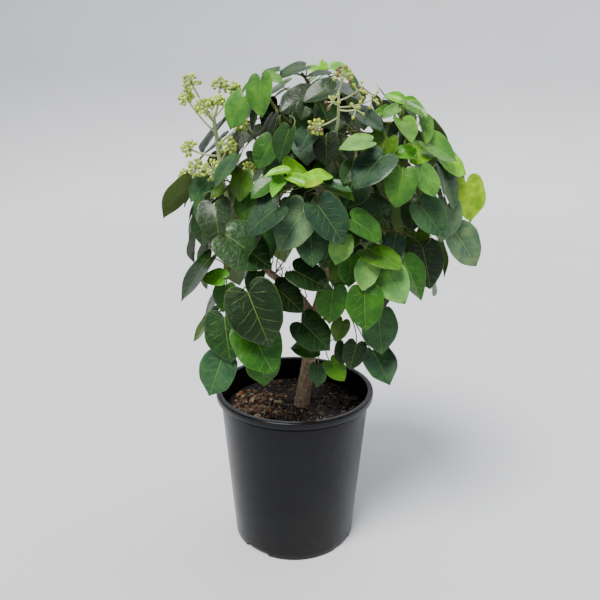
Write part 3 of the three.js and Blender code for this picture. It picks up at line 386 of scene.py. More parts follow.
class Placed:
    """All pieces placed so far, in arrays."""

    def __init__(self, room=6000):
        self.count = 0
        self.points, self.centres = np.zeros((room, CORNERS, 3)), np.zeros((room, 3))
        self.radii, self.reaches = np.zeros(room), np.zeros(room)
        self.owners, self.kinds = np.zeros(room, int), np.zeros(room, int)
        self.names = {}

    def code(self, word):
        return self.names.setdefault(word, len(self.names))

    def add(self, pieces):
        for points, radius, owner, kind, centre, reach in pieces:
            i = self.count
            self.points[i], self.radii[i], self.centres[i] = points, radius, centre
            self.reaches[i], self.owners[i], self.kinds[i] = reach, self.code(owner), self.code(kind)
            self.count += 1

    def clears(self, pieces, margins=MARGIN):
        """Whether none of the pieces comes too near to what is placed."""
        n = self.count
        owners, kinds = self.owners[:n], self.kinds[:n]
        blade, root, stem = self.code("blade"), self.code("root"), self.code("stem")
        for points, radius, owner, kind, centre, reach in pieces:
            same = owners == self.code(owner)
            skipped = np.zeros(n, bool)
            if kind == "root":
                skipped |= same & (kinds != blade)
            if kind != "blade":
                skipped |= same & ((kinds == root) | (kinds == stem))
            margin = np.where(same, margins["same_spray"], margins["other_spray"])
            gap = distances(self.centres[:n], centre)
            near = np.flatnonzero((gap <= reach + self.reaches[:n] + margin) & ~skipped)
            need = radius + self.radii[near] + margin[near]
            if len(near) and not all_apart(points, self.points[near], need):
                return False
        return True


def all_apart(piece, others, need):
    """The shortest line to each other piece is closed in on until one side or the other is certain."""
    line = piece[0] - others[:, 0]
    for _ in range(ROUNDS):
        length = np.sqrt((line * line).sum(1))
        if (length < need).any():
            return False
        mine = piece[(line @ piece.T).argmin(1)]
        along = np.einsum("nkj,nj->nk", others, line)
        tip = mine - others[np.arange(len(others)), along.argmax(1)]
        open_ = ~((line * tip).sum(1) / length > need)
        if not open_.any():
            return True
        line, tip, others, need = line[open_], tip[open_], others[open_], need[open_]
        edge = tip - line
        share = np.clip(-(line * edge).sum(1) / (edge * edge).sum(1), 0, 1)
        line = line + edge * share[:, None]
    return False


# ---- Leaves: the source's outline, pose and rule ----


def bezier(a, b, c, d, t):
    s = 1 - t
    return a * s * s * s + 3 * b * s * s * t + 3 * c * s * t * t + d * t * t * t


def lobe_curve(half_width, t):
    drop = -BLADE["lobe_depth"]
    return bezier(0, LOBE_PULL, half_width, half_width, t), bezier(0, drop, drop, SHOULDER, t)


def flank_curve(half_width, t):
    across = bezier(half_width, half_width, TIP_PULL["across"] * half_width, 0, t)
    return across, bezier(SHOULDER, FLANK_PULL, TIP_PULL["along"], 1, t)


def half_width_of(length):
    share = min(1, length / BLADE["full_length"])
    return mix(BLADE["width_ratio"], BLADE["full_width_ratio"], share) / 2


def leaf_axes(facing, lean, turn):
    lean, facing, turn = (math.radians(angle) for angle in (-lean, facing, turn))
    axes = []
    for x, y, z in ((math.sin(turn), 0, -math.cos(turn)), (0, -1, 0)):
        y, z = y * math.cos(lean) - z * math.sin(lean), y * math.sin(lean) + z * math.cos(lean)
        x, y = x * math.cos(facing) - y * math.sin(facing), x * math.sin(facing) + y * math.cos(facing)
        axes.append(arr(x, y, z))
    tip, face = axes
    return tip, face, np.cross(tip, face)


def make_leaf(row, spray, random):
    x, y, z, facing, lean, turn, length = row[:7]
    return {
        "spray": spray, "base": arr(x, y, z), "facing": facing, "lean": lean, "turn": turn,
        "length": length, "tone": row[7] if len(row) > 7 else "",
        "fold": mix(0.05, 0.3, random()), "droop": mix(0.04, 0.2, random()),
        "twist": mix(-0.12, 0.12, random()), "seed": math.floor(random() * 4294967296),
    }


def blade_points(leaf, axes, x, y, extra=0.0):
    """Points of the blade's middle surface, at leaf coordinates one leaf long."""
    tip, face, across = axes
    lift = leaf["fold"] * np.abs(x) - leaf["droop"] * y * y + leaf["twist"] * x * y + extra
    flat = x[..., None] * across + y[..., None] * tip + lift[..., None] * face
    return leaf["base"] + flat * leaf["length"]


def petiole_run(leaf, axes, root, shares=None):
    """The stalk from the twig to the blade's notch, which it meets from behind."""
    tip, face, _ = axes
    end = leaf["base"]
    span = np.linalg.norm(end - root)
    arrival = unit(0.6 * tip + 0.5 * face)
    first = root + unit(end - root) * 0.3 * span + UP * 0.12 * span
    second = end - arrival * 0.45 * span
    if shares is None:
        shares = PETIOLE["long_bends"] if span > PETIOLE["long_span"] else PETIOLE["short_bends"]
    points = np.array([bezier(root, first, second, end, t) for t in shares])
    return points, np.full(len(points), PETIOLE["radius"])


def leaf_pieces(leaf, axes, run):
    detail = OUTLINES["fine" if leaf["length"] > BLADE["fine_length"] else "plain"]
    width, spray = half_width_of(leaf["length"]), leaf["spray"]
    lobe, flank = (np.array(detail[part]) for part in ("lobe", "flank"))
    x, y = np.hstack([[[0], [0]], lobe_curve(width, lobe), flank_curve(width, flank), [[0], [1]]])
    halves = [blade_points(leaf, axes, side * x, y) for side in (1, -1)]
    blades = [make_piece(half, BLADE["thickness"] / 2, spray, "blade") for half in halves]
    first, *rest = stem_pieces(run, spray, "stalk")
    return [*blades, (*first[:3], "root", *first[4:]), *rest]


def grows_freely(axes, points):
    ways = unit(np.diff(points, axis=0))
    bends = (ways[1:] * ways[:-1]).sum(1)
    return ways[-1] @ axes[0] > PETIOLE["least_exit"] and (bends > PETIOLE["least_bend"]).all()


def settle(leaf, joints, placed, tries, margins=MARGIN):
    """Nudges a leaf about its place, a little further each time, until it hangs clear of the rest."""
    random = make_random(leaf["seed"])
    joints = np.array(joints)
    for attempt in range(tries):
        reach = attempt / tries

        def swing(most):
            return most * reach * (2 * random() - 1)

        nudged = dict(leaf)
        sideways = swing(NUDGE["side_shift"])
        inward = NUDGE["shift"] * reach * mix(NUDGE["outward"], 1, random())
        rise = swing(NUDGE["side_shift"]) - NUDGE["sink"] * inward
        nudged["base"] = leaf["base"] + arr(sideways, inward, rise)
        for angle in ("lean", "facing", "turn"):
            nudged[angle] += swing(NUDGE[angle])
        axes = leaf_axes(nudged["facing"], nudged["lean"], nudged["turn"])
        joint = int(distances(joints, nudged["base"] - axes[0] * PETIOLE["neck"]).argmin())
        nudged["root"] = joints[joint]
        run = petiole_run(nudged, axes, joints[joint])
        if grows_freely(axes, run[0]):
            pieces = leaf_pieces(nudged, axes, run)
            if placed.clears(pieces, margins):
                return nudged, pieces, joint
    return None


# ---- The crown's growth ----


def twig_run(path, step):
    last = len(path) - 1
    radii = [mix(TWIG["root_radius"], TWIG["tip_radius"], i / last) for i in range(len(path))]
    return sample_path(path, radii, step)


def leaf_joints(points):
    joints = []
    for a, b in zip(points, points[1:]):
        pieces = piece_count(a, b, TWIG["joint_step"])
        joints += [a + (b - a) * (j / pieces) for j in range(1, pieces + 1)]
    return joints[TWIG["bare_joints"] : -1]


def make_sprays():
    sprays = []
    for name, (twigs, rows) in SPRAYS.items():
        dead = DEAD_TWIGS.get(name, [])
        runs = [twig_run(path, TWIG["step"]) for path in twigs + dead]
        joints = [joint for points, _ in runs[: len(twigs)] for joint in leaf_joints(points)]
        sprays.append({
            "name": name, "twigs": twigs, "dead": dead, "runs": runs, "joints": joints, "rows": rows,
            "leaves": [],
        })
    return sprays


def shell_rows(count, zone, lowest, share, shortest, longest, seed):
    """Rows for leaves spread evenly over a shell of the dome, each facing out with its tip down."""
    random = make_random(seed)
    rows = []
    for height, ring, angle in spiral(count):
        outward = (ring * math.sin(angle), -ring * math.cos(angle), height)
        depth = share * mix(0.84, 1, random())
        place = [c + part * r * depth for c, part, r in zip(CROWN["centre"], outward, CROWN["reach"])]
        facing = math.degrees(math.atan2(outward[0], -outward[1])) + mix(-25, 25, random())
        lean = mix(12, 30, random()) + 38 * max(0, height)
        turn = mix(-40, 40, random())
        length = mix(shortest, longest, random())
        if zone[0] < outward[1] < zone[1] and height > lowest:
            rows.append((*place, facing, lean, turn, length))
    return rows


def nearest_owner(owners, place):
    """The owner with the joint nearest to a place, and its joints."""
    growing = [(owner, joints) for owner, joints in owners if joints]
    return growing[int(np.argmin([distances(joints, place).min() for _, joints in growing]))]


def grow_leaves(sprays, placed):
    random = make_random(3)
    named = [(spray, row) for spray in sprays for row in spray["rows"]]
    named.sort(key=lambda wanted: wanted[1][1])
    filling = [(None, row) for shell in SHELLS for row in shell_rows(*shell)]
    owners = [(spray, spray["joints"]) for spray in sprays]
    for spray, row in named + filling:
        spray = spray or nearest_owner(owners, arr(*row[:3]))[0]
        found = settle(make_leaf(row, spray["name"], random), spray["joints"], placed, NUDGE["tries"])
        if found:
            leaf, pieces, joint = found
            placed.add(pieces)
            spray["leaves"].append(leaf)
            spray["joints"].pop(joint)


def flower_runs(head):
    """A head's stem, its widths, and each umbel's stalk as hub, bend and root."""
    stem, widths = sample_path(head["stem"], head["radii"], 20)
    stalks = []
    for x, y, z, _, share in head["umbels"]:
        place = share * (len(stem) - 1)
        i = min(len(stem) - 2, math.floor(place))
        root = stem[i] + (stem[i + 1] - stem[i]) * (place - i)
        hub = arr(x, y, z)
        sag = 0.12 * np.linalg.norm(root - hub)
        stalks.append((hub, root + (hub - root) * 0.55 - UP * sag, root))
    return stem, widths, stalks


def stalk_points(stalk, steps):
    hub, bend, root = stalk
    shares = [i / steps for i in range(steps + 1)]
    return np.array([hub * (1 - t) ** 2 + bend * 2 * t * (1 - t) + root * t * t for t in shares])


def fill_with_obstacles(placed, sprays):
    for path, radii in WOOD_PATHS:
        placed.add(stem_pieces(sample_path(path, radii, WOOD_STEP), "wood"))
    for spray in sprays:
        for run in spray["runs"]:
            placed.add(stem_pieces(run, spray["name"]))
    for name, head in FLOWER_HEADS.items():
        stem, widths, stalks = flower_runs(head)
        placed.add([make_piece([umbel[:3]], umbel[3], name, "blade") for umbel in head["umbels"]])
        for run in [(stem, widths), *((stalk_points(s, 3), [UMBEL_STALK_RADIUS] * 4) for s in stalks)]:
            placed.add(stem_pieces(run, name))


# ---- Meshes ----

# Leaf tones. "shade" is painted shade: a near-black green for leaves that hang in the crown's dark hollows.
# "grey", "slate" and "silver" mix a bluish grey into the green, partly as painted sky sheen.
TONES = {
    "dark": "082108", "deep": "0E310A", "mid": "23540F", "fresh": "427724", "bright": "40740C",
    "pale": "619649", "lime": "71B90A", "young": "5FAD23", "yellow": "7CA404", "grey": "284B2D",
    "slate": "193727", "olive": "395D0F", "under": "51662C", "silver": "48644C", "shade": "041403",
}
YOUNG_SPRAYS = {"leaves_centre_lime": 0.66, "leaves_upper_right": 0.8}  # share of full width
YOUNG_LENGTH = 33  # a young leaf is shorter than this
STALK_TONE, TWIG_TONE, DEAD_TONE = "7E8C48", "5E5A38", "4A3A30"
BUD_TONES = ("A0B44C", "86A044", "BCD040")
SPENT_TONES = ("A6AE34", "6E5234", "9AAA48")
PEDICEL_TONE = "B6C288"
STALK_MARK = (0, 0.5, 2)  # leaf coordinates that the leaf material takes for a stalk


def linear(code):
    """Scene-linear colour of an everyday hex code."""
    share = np.array(list(bytes.fromhex(code))) / 255
    return np.where(share <= 0.04045, share / 12.92, ((share + 0.055) / 1.055) ** 2.4)


def new_object(name, data):
    made = bpy.data.objects.new(name, data)
    bpy.context.scene.collection.objects.link(made)
    return made


def grid_faces(rows, sides, ring=False):
    """Quads between closed rows of points. A ring's last row joins its first."""
    count = rows * sides
    faces = []
    for i in range(rows if ring else rows - 1):
        for k in range(sides):
            a, b = i * sides + k, i * sides + (k + 1) % sides
            faces.append((a, b, (b + sides) % count, (a + sides) % count))
    return faces


def closed_faces(rows, sides):
    """Quads between closed rows of points, and fans to the two end points that follow them."""
    count = rows * sides
    faces = grid_faces(rows, sides)
    for k in range(sides):
        after = (k + 1) % sides
        faces += [(count, after, k), (count + 1, count - sides + k, count - sides + after)]
    return faces


class Skin:
    """Gathers pieces of mesh, with a tone and leaf coordinates at each point."""

    def __init__(self):
        self.points, self.faces, self.tones, self.marks = [], [], [], []
        self.count = 0

    def add(self, points, faces, tone, marks=(0, 0, 0)):
        points = np.asarray(points, float)
        self.points.append(points)
        self.faces += [tuple(i + self.count for i in face) for face in faces]
        self.tones.append(np.broadcast_to(tone, points.shape))
        self.marks.append(np.broadcast_to(marks, points.shape))
        self.count += len(points)

    def tube(self, points, widths, tone, sides, wobble=0.0, seed=1):
        """A round tube along points, closed at both ends."""
        along = unit(np.gradient(points, axis=0))
        random = make_random(seed)
        across = arr(0.83, 0.55, 0.1)
        turn = circle(sides)[:, None]
        rings = []
        for at, way, width in zip(points, along, widths):
            across = unit(across - way * (across @ way))
            radius = width * (1 + wobble * np.array([[2 * random() - 1] for _ in range(sides)]))
            rings.append(at + radius * (np.cos(turn) * across + np.sin(turn) * np.cross(way, across)))
        ends = [points[0] - along[0] * widths[0] * 0.3, points[-1] + along[-1] * widths[-1] * 0.3]
        self.add(np.vstack(rings + [ends]), closed_faces(len(points), sides), tone, STALK_MARK)

    def mesh(self, name):
        mesh = bpy.data.meshes.new(name)
        mesh.from_pydata((np.vstack(self.points) * MM).tolist(), [], self.faces)
        return mesh

    def build(self, name, material, slot, replaces=None, smooth=True):
        mesh = self.mesh(name)
        tones = np.hstack([np.vstack(self.tones), np.ones((self.count, 1))])
        mesh.attributes.new("tone", "FLOAT_COLOR", "POINT").data.foreach_set("color", tones.ravel())
        marks = np.vstack(self.marks).astype(float)
        mesh.attributes.new("leaf", "FLOAT_VECTOR", "POINT").data.foreach_set("vector", marks.ravel())
        mesh.polygons.foreach_set("use_smooth", [smooth] * len(mesh.polygons))
        mesh.materials.append(material)
        piece = new_object(name, mesh)
        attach(piece, "root")
        if replaces:
            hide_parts(replaces)
        return piece


# ---- Leaves ----

LOBE_SHARES = np.arange(1, 8) / 7
FLANK_SHARES = np.arange(1, 9) / 9
COLUMN_SHARES = np.array([0, 0.16, 0.36, 0.58, 0.8, 0.955, 1])  # from the midrib to the margin
SIGNED_SHARES = np.hstack([-COLUMN_SHARES[:0:-1], COLUMN_SHARES])[None, :]
LEAF_THICKNESS = 0.5  # at the middle, none at the margin
FULL_WAVE = 6.28  # radians, near enough a full turn
# What each leaf draws for itself: how far its tip is drawn in, its margin's wave and that wave's
# pitch, its cup, and the swell of the blade between its side veins.
LEAF_FORM = {
    "tip": (0.12, 0.5), "wave": (0.008, 0.024), "cup": (-0.1, 0.15), "pucker": (0.009, 0.016),
    "phase": (0, FULL_WAVE), "pitch": (5, 9),
}
YOUNG_CUP = 0.35
TIP_FROM = 0.7  # share of the leaf's length where the tip starts
RIB_SHARE = 0.24  # share of the midrib that the lobes' rows take up
EDGE_WAVE = {"share": 0.025, "pitch": 8}
VEIN_STEP, VEIN_RISE = 0.21, 0.8  # between side veins, and how they climb toward the margin
# Shares of the way along a leaf stalk, and of its width there.
STALK_TAPER = ((0, 0.2, 0.85, 1), (1.45, 1, 0.85, 0.8))
NODE_SWELL, TWIG_SLIMNESS = 1.18, 0.86  # shares of the twig's own width
FILL_TONES = ((0.28, "dark"), (0.55, "deep"), (0.72, "grey"), (0.98, "mid"), (1.12, "bright"))


def leaf_faces(rows):
    """Faces of a closed blade: the top's grid, the underside's grid, and both fans at notch and tip."""
    columns = SIGNED_SHARES.size
    inner = columns - 2

    def top(row, column):
        return 2 + row * columns + column

    def under(row, column):
        return top(row, column) if column in (0, inner + 1) else top(rows, 0) + row * inner + column - 1

    faces = []
    for k in range(columns - 1):
        faces += [(0, top(0, k + 1), top(0, k)), (1, top(rows - 1, k), top(rows - 1, k + 1))]
        faces += [(0, under(0, k), under(0, k + 1)), (1, under(rows - 1, k + 1), under(rows - 1, k))]
        for row in range(rows - 1):
            faces.append((top(row, k), top(row, k + 1), top(row + 1, k + 1), top(row + 1, k)))
            faces.append((under(row, k), under(row + 1, k), under(row + 1, k + 1), under(row, k + 1)))
    return faces


LEAF_FACES = leaf_faces(len(LOBE_SHARES) + len(FLANK_SHARES))


def blade_mesh(leaf, axes, random):
    """The blade as a thin closed lens over the source's outline and middle surface."""
    form = {name: mix(*ends, random()) for name, ends in LEAF_FORM.items()}
    half = half_width_of(leaf["length"])
    edge_x, edge_y = np.hstack([lobe_curve(half, LOBE_SHARES), flank_curve(half, FLANK_SHARES)])[..., None]
    edge_x = edge_x * (1 - form["tip"] * np.clip((edge_y - TIP_FROM) / 0.3, 0, 1))
    if leaf["spray"] in YOUNG_SPRAYS and leaf["length"] < YOUNG_LENGTH:
        edge_x = edge_x * YOUNG_SPRAYS[leaf["spray"]]
        form["cup"] -= YOUNG_CUP
    rib = np.hstack([RIB_SHARE * LOBE_SHARES**1.6, mix(RIB_SHARE, 1, FLANK_SHARES**0.92)])[:, None]
    share, side = np.abs(SIGNED_SHARES), np.sign(SIGNED_SHARES)
    x = edge_x * SIGNED_SHARES
    y = rib + (edge_y - rib) * share
    wave = np.sin(EDGE_WAVE["pitch"] * y + form["phase"] + 2 * side)
    x = x * (1 + EDGE_WAVE["share"] * wave * share)
    ripple = form["wave"] * np.sin(form["pitch"] * y + form["phase"] + 1.3 * side) * share**2
    swell = np.cos(FULL_WAVE * (y - VEIN_RISE * np.abs(x)) / VEIN_STEP) * np.sin(np.pi * share)
    lift = ripple + form["pucker"] * swell - form["cup"] * share**2 * np.abs(x)
    middle = blade_points(leaf, axes, x, y, lift)
    body = LEAF_THICKNESS / 2 * np.sqrt(1 - share**12)[..., None] * axes[1]
    ends = blade_points(leaf, axes, arr(0, 0), arr(0, 1.02))
    points = np.vstack([ends, (middle + body).reshape(-1, 3), (middle - body)[:, 1:-1].reshape(-1, 3)])
    top = np.stack([x, y, np.broadcast_to(0.3 * share**6, x.shape)], -1)
    under = np.stack([x, y, np.ones_like(x)], -1)[:, 1:-1]
    return points, np.vstack([[[0, 0, 0], [0, 1, 0.3]], top.reshape(-1, 3), under.reshape(-1, 3)])


def leaf_tone(leaf, random):
    """The leaf's colour, a little off its tone word; for some leaves that word carries painted light or
    shade.
    """
    light = mix(0.86, 1.14, random())
    warm = mix(0.94, 1.06, random())
    return linear(TONES[leaf["tone"]]) * light * arr(warm, 1, 2 - warm)


def add_leaf(skin, leaf, random):
    axes = leaf_axes(leaf["facing"], leaf["lean"], leaf["turn"])
    points, marks = blade_mesh(leaf, axes, random)
    tone = leaf_tone(leaf, random)
    skin.add(points, LEAF_FACES, tone, marks)
    shares = np.linspace(0, 1, 9)
    run, widths = petiole_run(leaf, axes, leaf["root"], shares)
    widths = widths * np.interp(shares, *STALK_TAPER)
    skin.tube(run, widths, linear(STALK_TONE) * 0.6 + tone * 0.4, sides=6)


def add_twig(skin, path, tone, seed, thin=1.0):
    """A twig that swells at every third point, where leaves grew."""
    points, widths = twig_run(path, 3)
    random = make_random(seed)
    nodes = [NODE_SWELL if i % 3 == 0 else mix(0.9, 1, random()) for i in range(len(points))]
    widths = widths * np.array(nodes) * TWIG_SLIMNESS * thin
    skin.tube(points, widths, linear(tone), sides=8, wobble=0.05, seed=seed)


def fill_tone(leaf, random):
    """Tone of a leaf that the shell rule placed: lighter tones more often toward the top of the crown,
    darker ones lower down.
    """
    height = (leaf["base"][2] - CROWN["centre"][2]) / CROWN["reach"][2]
    draw = random() + 0.35 * height
    return next((tone for limit, tone in FILL_TONES if draw < limit), "fresh")


# ---- Materials ----


class Wire:
    """A value in a material's node tree. Arithmetic on it adds math nodes."""

    def __init__(self, nodes, socket):
        self.nodes, self.socket = nodes, socket

    def __add__(self, other):
        return self.nodes.math("ADD", self, other)

    def __sub__(self, other):
        return self.nodes.math("SUBTRACT", self, other)

    def __rsub__(self, other):
        return self.nodes.math("SUBTRACT", other, self)

    def __mul__(self, other):
        return self.nodes.math("MULTIPLY", self, other)

    def __truediv__(self, other):
        return self.nodes.math("DIVIDE", self, other)

    def __abs__(self):
        return self.nodes.math("ABSOLUTE", self)


class Nodes:
    """A material's node tree, with short ways to add what these materials use."""

    def __init__(self, name):
        self.material = bpy.data.materials.new(name)
        self.material.use_nodes = True
        self.tree = self.material.node_tree
        self.shader = self.tree.nodes["Principled BSDF"]

    def node(self, kind, *values, **settings):
        """A new node, with values for its first inputs."""
        made = self.tree.nodes.new("ShaderNode" + kind)
        for key, value in settings.items():
            setattr(made, key, value)
        for socket, value in zip(made.inputs, values):
            self.link(value, socket)
        return made

    def link(self, value, socket):
        if isinstance(value, Wire):
            self.tree.links.new(value.socket, socket)
        else:
            socket.default_value = value

    def math(self, operation, *values):
        return Wire(self, self.node("Math", *values, operation=operation).outputs[0])

    def largest(self, first, *others):
        for other in others:
            first = self.math("MAXIMUM", first, other)
        return first

    def band(self, value, low, high, start=0.0, end=1.0):
        """A soft step from start to end, as the value goes from low to high."""
        made = self.node("MapRange", value, low, high, start, end, interpolation_type="SMOOTHSTEP")
        return Wire(self, made.outputs[0])

    def attribute(self, name, kind):
        return Wire(self, self.node("Attribute", attribute_name=name).outputs[kind])

    def place(self):
        return Wire(self, self.node("TexCoord").outputs["Object"])

    def split(self, vector):
        return [Wire(self, part) for part in self.node("SeparateXYZ", vector).outputs]

    def joined(self, *values):
        return Wire(self, self.node("CombineXYZ", *values).outputs[0])

    def texture(self, kind, at, settings, **options):
        made = self.node(kind, **options)
        for name, value in {"Vector": at or self.place(), **settings}.items():
            self.link(value, made.inputs[name])
        return made

    def noise(self, scale, detail=3, rough=0.5, at=None):
        settings = {"Scale": scale, "Detail": detail, "Roughness": rough}
        return Wire(self, self.texture("TexNoise", at, settings).outputs[0])

    def cells(self, scale, feature="F1", at=None):
        made = self.texture("TexVoronoi", at, {"Scale": scale}, feature=feature)
        return Wire(self, made.outputs["Distance"])

    def mixed(self, share, a, b, blend="MIX"):
        made = self.node("Mix", data_type="RGBA", blend_type=blend)
        for value, socket in ((share, made.inputs[0]), (a, made.inputs[6]), (b, made.inputs[7])):
            if isinstance(value, (tuple, np.ndarray)):
                value = (*value, 1.0)
            self.link(value, socket)
        return Wire(self, made.outputs[2])

    def tinted(self, color, factors):
        return self.mixed(1.0, color, factors, "MULTIPLY")

    def finish(self, color, rough, bump=None, **others):
        """Sets the shader's colour and roughness, and a bump from height, strength and distance."""
        settings = {"Base Color": color, "Roughness": rough, **others}
        if bump:
            made = self.node("Bump")
            for name, value in zip(("Height", "Strength", "Distance"), bump):
                self.link(value, made.inputs[name])
            settings["Normal"] = Wire(self, made.outputs[0])
        for name, value in settings.items():
            self.link(value, self.shader.inputs[name])
        return self.material


# Side veins: step, width from edge to middle, and where on the blade they start and fade.
SIDE_VEINS = {"step": 0.2, "width": (0.055, 0.005), "start": (0.1, 0.14), "fade": (0.4, 0.12)}
FAN_VEINS = ((0.87, 0.05), (1.45, 0.06), (2.25, 0.07))  # heading from the midrib, half width


def leaf_network(n, x, y):
    """Midrib, side veins that curve off it toward the tip, and veins that fan out from the notch."""
    across, uneven = abs(x), n.noise(130, 2)
    rib = n.band(1 - across / (y * -0.008 + 0.012), -0.6, 0.5)
    along = y + (across * across * 0.9 - across) * 0.95 + uneven * 0.07
    ridge = abs(n.math("FRACT", (along + 0.03) / SIDE_VEINS["step"]) - 0.5)
    veins = n.band(ridge, *SIDE_VEINS["width"]) * n.band(along, *SIDE_VEINS["start"])
    veins = veins * n.band(across, *SIDE_VEINS["fade"])
    angle = n.math("ARCTAN2", across, y + 0.004) + uneven * 0.3
    fans = n.largest(*(n.band(abs(angle - heading), narrow, 0) for heading, narrow in FAN_VEINS))
    fans = fans * n.band(n.math("SQRT", x * x + y * y), 0.4, 0.06)
    return n.largest(veins * 0.5, fans * 0.95, rib)


def leaf_material():
    """Waxy leaf: pale midrib and side veins, a paler margin, a matt paler underside."""
    n = Nodes("ivy_leaf")
    tone = n.attribute("tone", "Color")
    x, y, side = n.split(n.attribute("leaf", "Vector"))
    under = n.band(side, 0.45, 0.65)
    blade = 1 - n.band(side, 1.4, 1.6)
    rim = n.band(side, 0.2, 0.3) * (1 - under)
    network = leaf_network(n, x, y) * blade
    net = n.band(n.cells(24, "DISTANCE_TO_EDGE", n.joined(x, y)), 0.08, 0)
    pale = n.mixed(0.4, n.tinted(tone, (2.8, 2.4, 2.0)), linear("ACCC60"))
    patchy = n.band(n.noise(70, 5, 0.6), 0.35, 0.68)
    body = n.mixed(patchy, n.tinted(tone, (0.6, 0.68, 0.75)), n.tinted(tone, (1.5, 1.34, 1.0)))
    for share in (net * 0.07, network * 0.62, rim * 0.36):
        body = n.mixed(share, body, pale)
    dust = n.band(n.noise(420, 4, 0.7), 0.6, 0.78) * n.band(n.noise(38, 2), 0.45, 0.65)
    blotch = n.band(n.noise(75, 1), 0.79, 0.83)
    body = n.mixed(dust * 0.22, body, linear("A8B4A6"))
    body = n.mixed(blotch * 0.7, body, linear("6A5024"))
    reverse = n.mixed(network * 0.4, n.mixed(0.5, tone, linear("708848")), linear("98AC70"))
    color = n.mixed(under * blade, body, reverse)
    rough = n.noise(180, 5, 0.7) * 0.44 + 0.12 + under * 0.24 + dust * 0.3
    height = network * -1 + net * -0.06 + n.noise(130, 4, 0.55) * 1.2
    gloss = {
        "Specular IOR Level": 0.25, "Specular Tint": (0.8, 1, 0.76, 1), "Coat Weight": 0.2,
        "Coat Roughness": 0.16,
    }
    return n.finish(color, rough, (height, 0.8, 0.0013), **gloss)


def flower_material():
    n = Nodes("ivy_bud")
    speck = n.band(n.noise(900, 3), 0.5, 0.68)
    color = n.mixed(speck * 0.35, n.attribute("tone", "Color"), linear("C0C68A"))
    return n.finish(color, n.noise(500) * 0.2 + 0.48, (n.noise(700, 2), 0.3, 0.0003))


def bark_material():
    """Grey-brown bark: lengthways furrows, pale patches, dark specks where shoots broke off."""
    n = Nodes("ivy_bark")
    x, y, z = n.split(n.place())
    grain = n.noise(520, 6, 0.65, n.joined(x, y, z * 0.35))
    patch = n.noise(120, 4, 0.6)
    pits = n.band(n.cells(420), 0.22, 0.1)
    color = n.mixed(n.band(grain, 0.3, 0.72), linear("544232"), linear("B0987C"))
    color = n.mixed(n.band(patch, 0.48, 0.68) * 0.55, color, linear("BCAA90"))
    color = n.mixed(pits * 0.8, color, linear("221A15"))
    return n.finish(color, patch * 0.15 + 0.78, (grain - pits * 0.5, 0.9, 0.0012))


def pot_material():
    """Black moulded plastic: satin, thinly dusty, soft flow bands and a few pale specks."""
    n = Nodes("pot_plastic_black")
    dust = n.band(n.noise(7), 0.3, 0.8)
    x, _, z = n.split(n.place())
    bands = n.noise(95, 2, 0.5, n.joined(x * 0.12, 0, z))
    below_lip = n.band(z, 0.13, 0.18, 0.15, 1)
    speck = n.band(n.cells(95), 0.07, 0.03) * n.band(n.noise(9, 1), 0.55, 0.65)
    color = n.mixed(dust * 0.6, linear("030407"), linear("171715"))
    color = n.mixed(speck * 0.6, color, linear("706E66"))
    height = n.noise(26, 1) * 0.8 + bands * below_lip
    gloss = {"Specular IOR Level": 0.23}
    return n.finish(color, dust * 0.14 + 0.24, (height, 0.5, 0.001), **gloss)


def soil_material():
    """Dark damp potting mix with crumbs of every size."""
    n = Nodes("potting_mix_dark")
    lumps = n.noise(160, 6, 0.7)
    color = n.mixed(n.band(lumps, 0.35, 0.7), linear("080605"), linear("201712"))
    color = n.mixed(n.band(n.noise(420, 2), 0.62, 0.74), color, linear("604634"))
    return n.finish(color, 0.92, (n.cells(330) + lumps * 1.4, 1, 0.003))


def chip_material():
    """Bark chips, perlite and fibres: each piece's tone, with painted shade on the chips at the right side,
    and grain.
    """
    n = Nodes("potting_mix_chips")
    tone, grain = n.attribute("tone", "Color"), n.noise(600, 5, 0.7)
    color = n.mixed(n.band(grain, 0.3, 0.7), n.tinted(tone, linear("9A8C80")), tone)
    return n.finish(color, 0.85, (grain, 0.8, 0.0008))


LEAF = leaf_material()
BUD = flower_material()
BARK = bark_material()
PLASTIC = pot_material()
MIX = soil_material()
CHIPS = chip_material()

# ---- The crown, dressed ----

LEAF_SLOTS = {
    "leaves_upper_right": "leaf_fresh", "leaves_right_low": "leaf_fresh",
    "leaves_centre_lime": "leaf_lime",
}


def dress_sprays(sprays):
    random = make_random(21)
    for number, spray in enumerate(sprays):
        skin = Skin()
        for path in spray["twigs"]:
            add_twig(skin, path, TWIG_TONE, seed=number + 1)
        for path in spray["dead"]:
            add_twig(skin, path, DEAD_TONE, seed=number + 40, thin=0.6)
        for leaf in spray["leaves"]:
            leaf["tone"] = leaf["tone"] or fill_tone(leaf, random)
            add_leaf(skin, leaf, random)
        slot = LEAF_SLOTS.get(spray["name"], "leaf_deep")
        skin.build("foliage_" + spray["name"].removeprefix("leaves_"), LEAF, slot, spray["name"])


INNER_ROWS = [
    (-25, -20, 555, -20, 20, -20, 34), (-3, -10, 569, -10, 45, 30, 34), (10, -30, 533, 10, 20, -30, 34),
    (-14, -28, 524, -30, 20, 10, 36), (64, -50, 388, 10, 15, 20, 34), (26, -30, 547, 20, 30, 10, 34),
    (-18, 0, 540, -40, 10, 20, 38), (72, -60, 282, 10, 20, -10, 30), (40, -30, 556, 30, 30, 20, 34),
    (35, -84, 515, 0, 12, 10, 30), (27, -56, 498, -10, 15, -12, 28),
]
INNER_TRIES = 60
